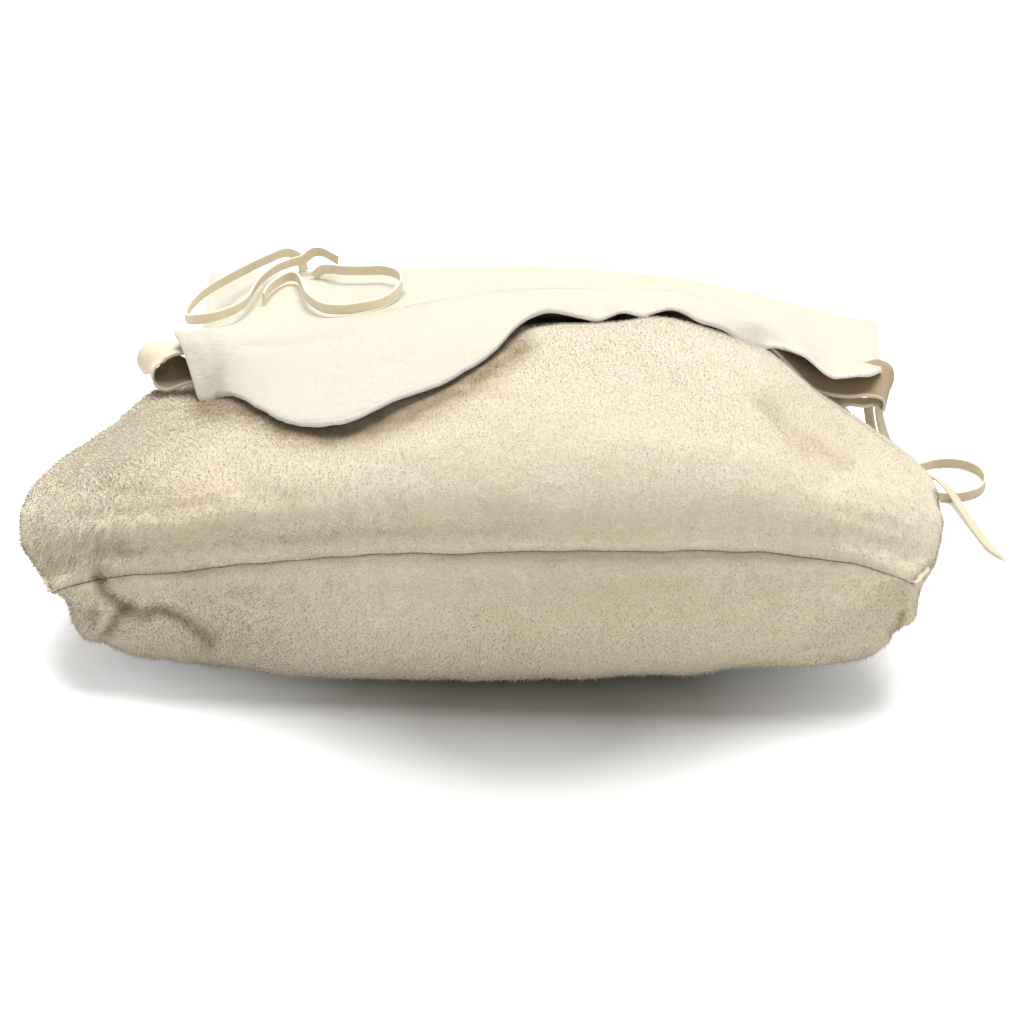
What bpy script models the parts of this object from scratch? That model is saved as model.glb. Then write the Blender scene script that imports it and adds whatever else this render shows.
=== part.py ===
"""Deerskin shoulder bag, stuffed and lying on its back with the flap drawn over its mouth.

Metres, +Z up. The bottom of the bag faces -Y, its mouth faces +Y and the front panel is on top.
Lengths along the bag are measured from its bottom end, and BOTTOM_Y puts that end in the world.
"""
import bpy
import bmesh
from math import cos, exp, pi, sin
from mathutils import Vector
from mathutils.bvhtree import BVHTree
from mathutils.geometry import intersect_point_line

# Driving dimensions of the leather and its seams
LEATHER = 0.0015
FLAP_LEATHER = 0.0014
STRAP_LEATHER = 0.0018
SEAM_GAP = 0.0003
LAY_GAP = 0.0004
LACE_GAP = 0.0003

# Driving dimensions of the bag as it lies
BOTTOM_Y = -0.1735
HALF_WIDTH = 0.209
BODY_LENGTH = 0.305
BODY_HEIGHT = 0.137
SEAM_HEIGHT = 0.0745
MOUTH_HEIGHT = 0.078
PEAK_SHIFT = 0.045
TILT = 0.045
RIGHT_FULLNESS = 0.011
PRESSED = 0.0015
FRONT_DOMING = 1.9
SEAM_DOMING = 4.0
PARED = 0.8

# Driving dimensions of the flap, the strap and the laces
FLAP_FAR_Y = 0.345
FLAP_RIDGE_Y = 0.205
FLAP_EDGE_LIFT = 0.0045
FLAP_SAG = 0.004
FLAP_FALL = 1.35
STRAP_WIDTH = 0.024
LACE_DIAMETER = 0.003

# How finely the sheets are divided
ACROSS = 44
ALONG = 20
FOLDED_ROWS = 4
FLAP_ACROSS = 34
FLAP_LAP_ROWS = 2
FLAP_WALL_ROWS = 5
FLAP_TOP_ROWS = 12
STRAP_ROWS = 64
NORMAL_PASSES = 4
LACE_STEPS = 3


def clear_scene():
    for old in list(bpy.data.objects):
        bpy.data.objects.remove(old, do_unlink=True)


def catmull(points, t):
    """A smooth curve through points, t from 0 to 1, evenly shared among its spans."""
    spans = len(points) - 1
    place = min(max(t, 0.0), 1.0) * spans
    i = min(int(place), spans - 1)
    f = place - i
    before = points[i - 1] if i > 0 else points[i] * 2 - points[i + 1]
    after = points[i + 2] if i + 2 <= spans else points[i + 1] * 2 - points[i]
    a, b = points[i], points[i + 1]
    return (a * 2 + (b - before) * f + (before * 2 - a * 5 + b * 4 - after) * f * f
            + (a * 3 - b * 3 + after - before) * f ** 3) * 0.5


def bump(distance, reach):
    return exp(-(distance / reach) ** 2)


# Lengthwise outlines, from the bottom seam to the mouth: y from the bottom end, z above the floor
FRONT_LINE = [Vector(p) for p in (
    (0.003, SEAM_HEIGHT), (0.004, 0.096), (0.022, 0.117), (0.060, 0.131), (0.105, BODY_HEIGHT),
    (0.150, 0.129), (0.200, 0.110), (0.255, 0.091), (BODY_LENGTH, MOUTH_HEIGHT))]
BACK_LINE = [Vector(p) for p in (
    (0.003, SEAM_HEIGHT), (0.000, 0.055), (0.003, 0.037), (0.010, 0.017), (0.025, 0.0045), (0.060, -PRESSED),
    (0.110, -2 * PRESSED), (0.160, -2 * PRESSED), (0.215, -2 * PRESSED), (0.268, 0.0),
    (BODY_LENGTH + 0.008, 0.010))]
# The side edge: half width as a share of HALF_WIDTH, y from the bottom end, z. The back panel is
# folded on itself below the end of the bottom seam, which makes the puckered corner.
SIDE_LINE = [Vector(p) for p in (
    (0.890, 0.010, 0.0555), (0.908, 0.0165, 0.0435), (0.915, 0.0215, 0.0525), (0.972, 0.040, 0.063),
    (1.000, 0.065, 0.070), (0.995, 0.100, 0.070), (0.955, 0.140, 0.067), (0.905, 0.175, 0.064),
    (0.850, 0.215, 0.061), (0.805, 0.262, 0.058), (0.775, BODY_LENGTH, 0.056))]


def body_point(line, t, s, u, sharp):
    """A point of a panel: t runs along its outline, s along the side edge, u from left to right."""
    share, side_y, side_z = catmull(SIDE_LINE, s)
    y, z = catmull(line, t)
    lean = u - PEAK_SHIFT / HALF_WIDTH * (1 - u * u)
    rise = 1 - abs(lean) ** sharp
    x = u * share * HALF_WIDTH + RIGHT_FULLNESS * max(u, 0.0) ** 4 * bump(s - 0.12, 0.16)
    z = side_z + (z - side_z) * rise + TILT * x * bump(s, 0.6)
    return Vector((x, side_y + (y - side_y) * (1 - abs(u) ** 5) + BOTTOM_Y, max(z, 0.0)))


def column(i):
    """Columns lie closer together towards the side edges."""
    return -cos(pi * i / ACROSS) * 0.35 + (2 * i / ACROSS - 1) * 0.65


def front_rows():
    rows = []
    for j in range(ALONG - FOLDED_ROWS + 1):
        t = j / (ALONG - FOLDED_ROWS)
        s = 0.0 if j == 0 else (j + FOLDED_ROWS) / ALONG
        sharp = FRONT_DOMING + (SEAM_DOMING - FRONT_DOMING) * bump(t, 0.2)
        rows.append([body_point(FRONT_LINE, t, s, column(i), sharp) for i in range(ACROSS + 1)])
    return rows


def back_rows():
    rows = []
    for j in range(ALONG + 1):
        s = j / ALONG
        sharp = SEAM_DOMING + 2.5 * bump(s - 0.35, 0.2) * (1 - bump(s, 0.1))
        rows.append([body_point(BACK_LINE, s, s, column(i), sharp) for i in range(ACROSS + 1)])
    return rows


def normals(rows, side):
    """Outward direction at each grid point, evened out so that a folded sheet keeps its thickness."""
    high, wide = len(rows), len(rows[0])
    out = []
    for j in range(high):
        line = []
        for i in range(wide):
            along = rows[min(j + 1, high - 1)][i] - rows[max(j - 1, 0)][i]
            across = rows[j][min(i + 1, wide - 1)] - rows[j][max(i - 1, 0)]
            line.append(across.cross(along).normalized() * side)
        out.append(line)
    for _ in range(NORMAL_PASSES):
        out = [[(out[max(j - 1, 0)][i] + out[min(j + 1, high - 1)][i] + out[j][max(i - 1, 0)]
                 + out[j][min(i + 1, wide - 1)] + out[j][i] * 2).normalized() for i in range(wide)]
               for j in range(high)]
    return out


# Soft folds pressed into a panel: from and to as shares across and along it, half width, depth
FRONT_FOLDS = [((0.79, 0.36), (0.84, 0.27), 0.0095, 0.0035), ((0.15, 0.09), (0.35, 0.06), 0.008, 0.0018),
               ((0.35, 0.06), (0.53, 0.09), 0.008, 0.0018), ((0.21, 0.36), (0.30, 0.24), 0.008, 0.0016)]
BACK_FOLDS = [((0.18, 0.18), (0.27, 0.24), 0.008, 0.0015)]


def press(rows, side, folds):
    """Presses soft folds into a panel, away from its edges."""
    outward = normals(rows, side)
    high = len(rows) - 1
    lines = []
    for (across, along), (across_end, along_end), wide, deep in folds:
        lines.append((rows[round(along * high)][round(across * ACROSS)],
                      rows[round(along_end * high)][round(across_end * ACROSS)], wide, deep))
    for j in range(1, high):
        for i in range(1, ACROSS):
            here = rows[j][i]
            for start, end, wide, deep in lines:
                nearest, share = intersect_point_line(here, start, end)
                nearest = start if share < 0 else end if share > 1 else nearest
                rows[j][i] = rows[j][i] - outward[j][i] * (deep * bump((here - nearest).length, wide))


def sew(front, back):
    """Parts two panels by SEAM_GAP along their shared seams and gives both the same edge direction."""
    front_out, back_out = normals(front, 1), normals(back, -1)
    pairs = [((0, i), (1, i), (0, i), (1, i)) for i in range(ACROSS + 1)]
    for j in range(1, ALONG - FOLDED_ROWS + 1):
        k = j + FOLDED_ROWS
        pairs += [((j, i), (j, m), (k, i), (k, m)) for i, m in ((0, 1), (ACROSS, ACROSS - 1))]
    moves = []
    for (fj, fi), (gj, gi), (bj, bi), (cj, ci) in pairs:
        into_front = (front[gj][gi] - front[fj][fi]).normalized()
        into_back = (back[cj][ci] - back[bj][bi]).normalized()
        moves.append((fj, fi, bj, bi, (into_front - into_back).normalized() * (SEAM_GAP / 2)))
    for fj, fi, bj, bi, apart in moves:
        edge_out = (front_out[fj][fi] + back_out[bj][bi]).normalized()
        front[fj][fi] = front[fj][fi] + apart
        back[bj][bi] = back[bj][bi] - apart
        front_out[fj][fi] = back_out[bj][bi] = edge_out
    return front_out, back_out


def leather(name, color, roughness):
    material = bpy.data.materials.new(name)
    material.use_nodes = True
    shader = material.node_tree.nodes["Principled BSDF"]
    shader.inputs["Base Color"].default_value = (*color, 1.0)
    shader.inputs["Roughness"].default_value = roughness
    shader.inputs["Metallic"].default_value = 0.0
    return material


def pared(j, i):
    """Share of its thickness that the back panel keeps: its folded corners are pared thin."""
    return 1 - PARED * bump(j / FOLDED_ROWS - 0.6, 1.0) * abs(2 * i / ACROSS - 1) ** 4


def sheet_solid(name, rows, outward, thickness, material, side, share=lambda j, i: 1.0):
    """A closed leather sheet: its outer grid, the same grid set in by its thickness, and the cut edge."""
    high, wide = len(rows), len(rows[0])
    bm = bmesh.new()
    outer = [[bm.verts.new(p) for p in row] for row in rows]
    inner = [[bm.verts.new(rows[j][i] - outward[j][i] * (thickness * share(j, i))) for i in range(wide)]
             for j in range(high)]
    for j in range(high - 1):
        for i in range(wide - 1):
            bm.faces.new((outer[j][i], outer[j][i + 1], outer[j + 1][i + 1], outer[j + 1][i]))
            bm.faces.new((inner[j][i], inner[j + 1][i], inner[j + 1][i + 1], inner[j][i + 1]))
    edge = [(0, i) for i in range(wide - 1)] + [(j, wide - 1) for j in range(high - 1)]
    edge += [(high - 1, i) for i in range(wide - 1, 0, -1)] + [(j, 0) for j in range(high - 1, 0, -1)]
    for (j, i), (k, m) in zip(edge, edge[1:] + edge[:1]):
        bm.faces.new((outer[k][m], outer[j][i], inner[j][i], inner[k][m]))
    if side < 0:
        bmesh.ops.reverse_faces(bm, faces=bm.faces)
    mesh = bpy.data.meshes.new(name)
    bm.to_mesh(mesh)
    bm.free()
    mesh.materials.append(material)
    mesh.shade_smooth()
    mesh.set_sharp_from_angle(angle=pi / 4)
    thing = bpy.data.objects.new(name, mesh)
    bpy.context.collection.objects.link(thing)
    return thing


# The flap's raw front edge from left to right: x, y from the bottom end
FLAP_EDGE = [Vector(p) for p in (
    (-0.153, 0.172), (-0.140, 0.163), (-0.118, 0.122), (-0.100, 0.084), (-0.082, 0.058), (-0.058, 0.045),
    (-0.034, 0.055), (-0.011, 0.067), (0.008, 0.090), (0.018, 0.118), (0.030, 0.145), (0.052, 0.160),
    (0.076, 0.157), (0.100, 0.165), (0.120, 0.182), (0.140, 0.214), (0.160, 0.234), (0.178, 0.238),
    (0.188, 0.252))]
# Across the flap, left to right: x and height over its far bend, then x and height over its ridge
FLAP_FAR = [Vector(p) for p in (
    (-0.172, 0.092), (-0.115, 0.0935), (-0.055, 0.096), (0.010, 0.098), (0.060, 0.0945), (0.110, 0.087),
    (0.155, 0.079), (0.192, 0.071))]
FLAP_RIDGE = [Vector(p) for p in (
    (-0.164, 0.0995), (-0.110, 0.1065), (-0.060, 0.1150), (-0.005, 0.1255), (0.050, 0.128), (0.100, 0.1180),
    (0.150, 0.0970), (0.191, 0.0815))]

# The strap's middle line, folded in three under the flap. Where it lies on the front panel: x, y from
# the bottom end, and its lift off the panel. At its two folds: x, y, height and the way its width points
STRAP_START = [(-0.138, 0.276, 0.0032), (-0.105, 0.250, 0.0032), (-0.050, 0.228, 0.0032),
               (0.020, 0.218, 0.0032), (0.080, 0.220, 0.0032), (0.130, 0.222, 0.0034)]
STRAP_RIGHT_FOLD = [(Vector(p), Vector(w)) for p, w in (
    ((0.166, 0.222, 0.0720), (0.1, 1.0, -0.25)), ((0.184, 0.222, 0.0675), (0.2, 1.0, -0.20)),
    ((0.1930, 0.222, 0.0745), (0.25, 1.0, -0.1)), ((0.1895, 0.222, 0.0840), (0.2, 1.0, -0.1)),
    ((0.165, 0.220, 0.0828), (0.1, 1.0, -0.25)))]
STRAP_BACK = [(0.125, 0.218, 0.0062), (0.080, 0.214, 0.0060), (0.020, 0.212, 0.0060),
              (-0.050, 0.207, 0.0060), (-0.110, 0.200, 0.0060)]
STRAP_LEFT_FOLD = [(Vector(p), Vector(w)) for p, w in (
    ((-0.152, 0.204, 0.0765), (-0.2, 1.0, -0.25)), ((-0.169, 0.203, 0.0735), (-0.4, 1.0, -0.10)),
    ((-0.1785, 0.204, 0.0805), (-0.5, 1.0, 0.0)), ((-0.1745, 0.207, 0.0895), (-0.5, 1.0, 0.1)),
    ((-0.153, 0.210, 0.0910), (-0.2, 1.0, -0.1)))]
STRAP_END = [(-0.115, 0.211, 0.0125), (-0.060, 0.210, 0.0112), (-0.010, 0.211, 0.0110),
             (0.035, 0.212, 0.0110), (0.070, 0.214, 0.0108)]

# The laces' routes: x, y from the bottom end, z of the middle of the lace
LEFT_LACE = [Vector(p) for p in (
    (-0.1165, 0.3330, 0.0955), (-0.1175, 0.3335, 0.0990), (-0.1205, 0.3320, 0.1025), (-0.1259, 0.3290, 0.1045),
    (-0.1340, 0.3199, 0.1034), (-0.1478, 0.3024, 0.1003), (-0.1583, 0.2799, 0.0989), (-0.1625, 0.2600, 0.0985),
    (-0.1630, 0.2400, 0.0990), (-0.1595, 0.2240, 0.1010), (-0.1524, 0.2150, 0.1040), (-0.1440, 0.2170, 0.1050),
    (-0.1365, 0.2325, 0.1040), (-0.1345, 0.2550, 0.1010), (-0.1350, 0.2800, 0.0990), (-0.1345, 0.3000, 0.0980),
    (-0.1300, 0.3170, 0.0985), (-0.1235, 0.3250, 0.0995), (-0.1165, 0.3285, 0.1010), (-0.1110, 0.3300, 0.1045),
    (-0.1045, 0.3275, 0.1055), (-0.0955, 0.3190, 0.1040))]
LEFT_LACE_END = [Vector(p) for p in (
    (-0.1090, 0.3190, 0.0965), (-0.1035, 0.3178, 0.0995), (-0.0914, 0.3090, 0.1015), (-0.0791, 0.3060, 0.1026),
    (-0.0694, 0.3040, 0.1036), (-0.0606, 0.2940, 0.1048), (-0.0560, 0.2740, 0.1070), (-0.0555, 0.2500, 0.1100),
    (-0.0580, 0.2260, 0.1130), (-0.0650, 0.2090, 0.1150), (-0.0770, 0.2060, 0.1140), (-0.0880, 0.2150, 0.1115),
    (-0.0975, 0.2370, 0.1075), (-0.1055, 0.2650, 0.1025), (-0.1115, 0.2920, 0.0990), (-0.1165, 0.3075, 0.0975),
    (-0.1215, 0.3095, 0.0970), (-0.1260, 0.3010, 0.0965), (-0.1283, 0.2850, 0.0975), (-0.1280, 0.2680, 0.0985))]
RIGHT_LACE = [Vector(p) for p in (
    (0.1900, 0.2160, 0.0675), (0.1908, 0.2155, 0.0610), (0.1940, 0.2165, 0.0510), (0.1995, 0.2240, 0.0390),
    (0.2060, 0.2400, 0.0260), (0.2130, 0.2640, 0.0130), (0.2200, 0.2880, 0.0045), (0.2310, 0.3020, 0.0018),
    (0.2430, 0.3020, 0.0018), (0.2515, 0.2930, 0.0018), (0.2535, 0.2780, 0.0018), (0.2490, 0.2640, 0.0018),
    (0.2400, 0.2560, 0.0018), (0.2290, 0.2540, 0.0018), (0.2190, 0.2590, 0.0024), (0.2150, 0.2690, 0.0040),
    (0.2200, 0.2760, 0.0054), (0.2275, 0.2710, 0.0056), (0.2330, 0.2570, 0.0054), (0.2380, 0.2380, 0.0030),
    (0.2435, 0.2120, 0.0018), (0.2485, 0.1900, 0.0018), (0.2550, 0.1775, 0.0018))]
RIGHT_LACE_END = [Vector(p) for p in (
    (0.1850, 0.2130, 0.0650), (0.1862, 0.2115, 0.0590), (0.1885, 0.2088, 0.0510), (0.1920, 0.2065, 0.0410),
    (0.1955, 0.2055, 0.0300), (0.1970, 0.2050, 0.0190))]


def top_of(tree, x, y):
    """Height of the topmost surface over a place in plan, or None where nothing lies there."""
    hit = tree.ray_cast(Vector((x, y + BOTTOM_Y, 1.0)), Vector((0.0, 0.0, -1.0)))[0]
    return None if hit is None else hit.z


def profile(points, x):
    """Height at x along a list of (x, height) points, smoothed between them."""
    low, high = points[0][0], points[-1][0]
    t = min(max((x - low) / (high - low), 0.0), 1.0)
    spans = len(points) - 1
    i = 0
    while i < spans - 1 and points[i + 1][0] < x:
        i += 1
    f = min(max((x - points[i][0]) / (points[i + 1][0] - points[i][0]), 0.0), 1.0)
    return catmull(points, (i + f) / spans)[1] if 0.0 < t < 1.0 else points[0 if t <= 0 else -1][1]


def flap_top(tree, x, y, edge_y):
    """Height of the flap's outer side over a place in plan: high on the strap, low at the raw edge."""
    least = FLAP_LEATHER + LAY_GAP
    below = top_of(tree, x, y)
    if y >= FLAP_RIDGE_Y:
        back = min((y - FLAP_RIDGE_Y) / (FLAP_FAR_Y - FLAP_RIDGE_Y), 1.0)
        ridge, far = profile(FLAP_RIDGE, x), profile(FLAP_FAR, x)
        z = ridge + (far - ridge) * back - FLAP_SAG * sin(pi * back)
    else:
        ahead = (y - edge_y) / (FLAP_RIDGE_Y - edge_y)
        ridge_base = top_of(tree, x, FLAP_RIDGE_Y) or 0.0
        ridge_lift = max(profile(FLAP_RIDGE, x) - ridge_base, FLAP_EDGE_LIFT)
        z = (below or 0.0) + FLAP_EDGE_LIFT + (ridge_lift - FLAP_EDGE_LIFT) * (1 - (1 - ahead) ** FLAP_FALL)
    return z if below is None else max(z, below + least)


def flap_rows(tree, back):
    """Rows from the lap on the back panel, up the far bend and over the top to the raw edge."""
    lip_out = normals(back, -1)[-1]
    rows = [[] for _ in range(FLAP_LAP_ROWS + FLAP_WALL_ROWS + FLAP_TOP_ROWS + 1)]
    for i in range(FLAP_ACROSS + 1):
        a = i / FLAP_ACROSS
        place = (0.03 + 0.94 * a) * ACROSS
        k = min(int(place), ACROSS - 1)
        f = place - k
        lip = back[-1][k].lerp(back[-1][k + 1], f)
        before = back[-2][k].lerp(back[-2][k + 1], f)
        out = lip_out[k].lerp(lip_out[k + 1], f).normalized() * (LAY_GAP + FLAP_LEATHER)
        lap = lip + out
        start = lip.lerp(before, 0.8) + out
        edge_x, edge_y = catmull(FLAP_EDGE, a)
        far_x = FLAP_FAR[0][0] + (FLAP_FAR[-1][0] - FLAP_FAR[0][0]) * a
        far_z = profile(FLAP_FAR, far_x)
        for j in range(FLAP_LAP_ROWS):
            rows[j].append(start.lerp(lap, j / FLAP_LAP_ROWS))
        wall = [lap, Vector(((lap.x + far_x) / 2, FLAP_FAR_Y - 0.004 + BOTTOM_Y, lap.z + (far_z - lap.z) * 0.35)),
                Vector((far_x, FLAP_FAR_Y + 0.002 + BOTTOM_Y, lap.z + (far_z - lap.z) * 0.8)),
                Vector((far_x, FLAP_FAR_Y - 0.010 + BOTTOM_Y, far_z))]
        for j in range(FLAP_WALL_ROWS):
            rows[FLAP_LAP_ROWS + j].append(catmull(wall, j / FLAP_WALL_ROWS))
        for j in range(FLAP_TOP_ROWS + 1):
            b = j / FLAP_TOP_ROWS
            x = far_x + (edge_x - far_x) * b
            y = FLAP_FAR_Y - 0.010 + (edge_y - FLAP_FAR_Y + 0.010) * b
            rows[FLAP_LAP_ROWS + FLAP_WALL_ROWS + j].append(
                Vector((x, y + BOTTOM_Y, flap_top(tree, x, y, edge_y))))
    return rows


def on_panel(tree, places):
    """Points of the strap's middle line that lie on the front panel, with the panel's slope there."""
    reach = STRAP_WIDTH / 2
    out = []
    for x, y, lift in places:
        near, here, far = (top_of(tree, x, y + step) for step in (-reach, 0.0, reach))
        slope = Vector((0.0, 2 * reach, far - near))
        out.append((Vector((x, y, (near + here + far) / 3 + lift)), slope))
    return out


def strap_rows(tree):
    """Rows across the strap's width, along its folded line, and the outward way at each point."""
    line = on_panel(tree, STRAP_START) + STRAP_RIGHT_FOLD + on_panel(tree, STRAP_BACK)
    line += STRAP_LEFT_FOLD + on_panel(tree, STRAP_END)
    places = [p for p, _ in line]
    widths = [w.normalized() for _, w in line]
    rows, outward = [], []
    for j in range(STRAP_ROWS + 1):
        t = j / STRAP_ROWS
        ahead = (catmull(places, t + 0.004) - catmull(places, t - 0.004)).normalized()
        wide = catmull(widths, t)
        wide = (wide - ahead * wide.dot(ahead)).normalized()
        middle = catmull(places, t) + Vector((0.0, BOTTOM_Y, 0.0))
        rows.append([middle + wide * (STRAP_WIDTH / 2 * k) for k in (-1, 0, 1)])
        outward.append([ahead.cross(wide).normalized()] * 3)
    return rows, outward


def seat(route, tree):
    """The route with its start brought up to the face that the lace comes out of."""
    start = route[0] + Vector((0.0, BOTTOM_Y, 0.0))
    face = tree.find_nearest(start)[0]
    way = (start - face).normalized()
    ahead = (route[1] - route[0]).normalized()
    place = face + way * (LACE_GAP + LACE_DIAMETER / 2 * way.cross(ahead).length)
    return [place - Vector((0.0, BOTTOM_Y, 0.0))] + route[1:]


def lace(name, route, tree, material):
    """A lace as a round cord along a smooth curve through its route, lifted off what it lies on."""
    curve = bpy.data.curves.new(name, 'CURVE')
    curve.dimensions = '3D'
    curve.bevel_depth = LACE_DIAMETER / 2
    curve.bevel_resolution = 2
    curve.use_fill_caps = True
    steps = LACE_STEPS * (len(route) - 1)
    spline = curve.splines.new('POLY')
    spline.points.add(steps)
    for point, t in zip(spline.points, range(steps + 1)):
        p = catmull(route, t / steps)
        below = top_of(tree, p.x, p.y)
        rest = 0.0 if below is None or below > p.z else below + LACE_DIAMETER / 2 + LAY_GAP
        point.co = (p.x, p.y + BOTTOM_Y, max(p.z, rest) if t > 0 else p.z, 1.0)
    curve.materials.append(material)
    thing = bpy.data.objects.new(name, curve)
    bpy.context.collection.objects.link(thing)
    return thing


def main():
    clear_scene()
    body = leather("body_suede", (0.58, 0.47, 0.31), 0.95)
    smooth = leather("flap_suede", (0.72, 0.62, 0.44), 0.9)
    tan = leather("strap_leather", (0.50, 0.37, 0.21), 0.8)
    front, back = front_rows(), back_rows()
    press(front, 1, FRONT_FOLDS)
    press(back, -1, BACK_FOLDS)
    front_out, back_out = sew(front, back)
    top = sheet_solid("front_panel", front, front_out, LEATHER, body, 1)
    sheet_solid("back_panel", back, back_out, LEATHER, body, -1, pared)
    bpy.context.view_layer.update()
    tree = BVHTree.FromObject(top, bpy.context.evaluated_depsgraph_get())
    strap, strap_out = strap_rows(tree)
    strap = sheet_solid("shoulder_strap", strap, strap_out, STRAP_LEATHER, tan, -1)
    flap = flap_rows(tree, back)
    cover = sheet_solid("flap", flap, normals(flap, -1), FLAP_LEATHER, smooth, -1)
    bpy.context.view_layer.update()
    graph = bpy.context.evaluated_depsgraph_get()
    tree, strap_tree = BVHTree.FromObject(cover, graph), BVHTree.FromObject(strap, graph)
    for name, route, source in (("left_lace", LEFT_LACE, tree), ("left_lace_end", LEFT_LACE_END, tree),
                                ("right_lace", RIGHT_LACE, strap_tree),
                                ("right_lace_end", RIGHT_LACE_END, strap_tree)):
        lace(name, seat(route, source), tree, smooth)


main()
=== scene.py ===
"""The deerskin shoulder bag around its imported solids: napped leather panels, a raw-edged flap, strap and laces.

The panels, flap and strap repeat the sheets of part.py in finer steps, and their nap is real fibre.
"""

from math import cos, exp, pi, radians, sin

import bpy
import numpy as np
from mathutils import Matrix, Vector, noise
from mathutils.bvhtree import BVHTree
from mathutils.geometry import intersect_point_line


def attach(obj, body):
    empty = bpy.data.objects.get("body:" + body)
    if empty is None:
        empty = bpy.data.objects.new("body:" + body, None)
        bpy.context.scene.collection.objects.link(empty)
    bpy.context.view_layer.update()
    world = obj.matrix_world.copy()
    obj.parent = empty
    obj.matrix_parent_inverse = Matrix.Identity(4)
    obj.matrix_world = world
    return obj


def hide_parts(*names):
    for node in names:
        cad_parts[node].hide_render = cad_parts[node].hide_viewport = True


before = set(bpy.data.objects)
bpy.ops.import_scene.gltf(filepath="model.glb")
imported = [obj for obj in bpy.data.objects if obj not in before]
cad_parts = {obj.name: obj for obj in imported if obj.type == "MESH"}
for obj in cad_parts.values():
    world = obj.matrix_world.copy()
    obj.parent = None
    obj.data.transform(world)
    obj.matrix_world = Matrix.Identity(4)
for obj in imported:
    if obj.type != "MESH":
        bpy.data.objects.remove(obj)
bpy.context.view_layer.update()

# Driving dimensions of the leather and its seams
LEATHER = 0.0015
FLAP_LEATHER = 0.0014
STRAP_LEATHER = 0.0018
SEAM_GAP = 0.0003
LAY_GAP = 0.0004
LACE_GAP = 0.0003

# Driving dimensions of the bag as it lies
BOTTOM_Y = -0.1735
HALF_WIDTH = 0.209
BODY_LENGTH = 0.305
BODY_HEIGHT = 0.137
SEAM_HEIGHT = 0.0745
MOUTH_HEIGHT = 0.078
PEAK_SHIFT = 0.045
TILT = 0.045
RIGHT_FULLNESS = 0.011
PRESSED = 0.0015
FRONT_DOMING = 1.9
SEAM_DOMING = 4.0
PARED = 0.8

# Driving dimensions of the flap, the strap and the laces
FLAP_FAR_Y = 0.345
FLAP_RIDGE_Y = 0.205
FLAP_EDGE_LIFT = 0.0045
FLAP_SAG = 0.004
FLAP_FALL = 1.35
STRAP_WIDTH = 0.024
LACE_DIAMETER = 0.003

# How finely the sheets are divided
ACROSS = 44
ALONG = 20
FOLDED_ROWS = 4
FLAP_ACROSS = 34
FLAP_LAP_ROWS = 2
FLAP_WALL_ROWS = 5
FLAP_TOP_ROWS = 12
STRAP_ROWS = 64
NORMAL_PASSES = 4
LACE_STEPS = 3


def catmull(points, t):
    """A smooth curve through points, t from 0 to 1, evenly shared among its spans."""
    spans = len(points) - 1
    place = min(max(t, 0.0), 1.0) * spans
    i = min(int(place), spans - 1)
    f = place - i
    before = points[i - 1] if i > 0 else points[i] * 2 - points[i + 1]
    after = points[i + 2] if i + 2 <= spans else points[i + 1] * 2 - points[i]
    a, b = points[i], points[i + 1]
    return (a * 2 + (b - before) * f + (before * 2 - a * 5 + b * 4 - after) * f * f
            + (a * 3 - b * 3 + after - before) * f ** 3) * 0.5


def bump(distance, reach):
    return exp(-(distance / reach) ** 2)


# Lengthwise outlines, from the bottom seam to the mouth: y from the bottom end, z above the floor
FRONT_LINE = [Vector(p) for p in (
    (0.003, SEAM_HEIGHT), (0.004, 0.096), (0.022, 0.117), (0.060, 0.131), (0.105, BODY_HEIGHT),
    (0.150, 0.129), (0.200, 0.110), (0.255, 0.091), (BODY_LENGTH, MOUTH_HEIGHT))]
BACK_LINE = [Vector(p) for p in (
    (0.003, SEAM_HEIGHT), (0.000, 0.055), (0.003, 0.037), (0.010, 0.017), (0.025, 0.0045), (0.060, -PRESSED),
    (0.110, -2 * PRESSED), (0.160, -2 * PRESSED), (0.215, -2 * PRESSED), (0.268, 0.0),
    (BODY_LENGTH + 0.008, 0.010))]
# The side edge: half width as a share of HALF_WIDTH, y from the bottom end, z. The back panel is
# folded on itself below the end of the bottom seam, which makes the puckered corner.
SIDE_LINE = [Vector(p) for p in (
    (0.890, 0.010, 0.0555), (0.908, 0.0165, 0.0435), (0.915, 0.0215, 0.0525), (0.972, 0.040, 0.063),
    (1.000, 0.065, 0.070), (0.995, 0.100, 0.070), (0.955, 0.140, 0.067), (0.905, 0.175, 0.064),
    (0.850, 0.215, 0.061), (0.805, 0.262, 0.058), (0.775, BODY_LENGTH, 0.056))]


def body_point(line, t, s, u, sharp):
    """A point of a panel: t runs along its outline, s along the side edge, u from left to right."""
    share, side_y, side_z = catmull(SIDE_LINE, s)
    y, z = catmull(line, t)
    lean = u - PEAK_SHIFT / HALF_WIDTH * (1 - u * u)
    rise = 1 - abs(lean) ** sharp
    x = u * share * HALF_WIDTH + RIGHT_FULLNESS * max(u, 0.0) ** 4 * bump(s - 0.12, 0.16)
    z = side_z + (z - side_z) * rise + TILT * x * bump(s, 0.6)
    return Vector((x, side_y + (y - side_y) * (1 - abs(u) ** 5) + BOTTOM_Y, max(z, 0.0)))


def column(i):
    """Columns lie closer together towards the side edges."""
    return -cos(pi * i / ACROSS) * 0.35 + (2 * i / ACROSS - 1) * 0.65


def front_rows():
    rows = []
    for j in range(ALONG - FOLDED_ROWS + 1):
        t = j / (ALONG - FOLDED_ROWS)
        s = 0.0 if j == 0 else (j + FOLDED_ROWS) / ALONG
        sharp = FRONT_DOMING + (SEAM_DOMING - FRONT_DOMING) * bump(t, 0.2)
        rows.append([body_point(FRONT_LINE, t, s, column(i), sharp) for i in range(ACROSS + 1)])
    return rows


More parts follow.
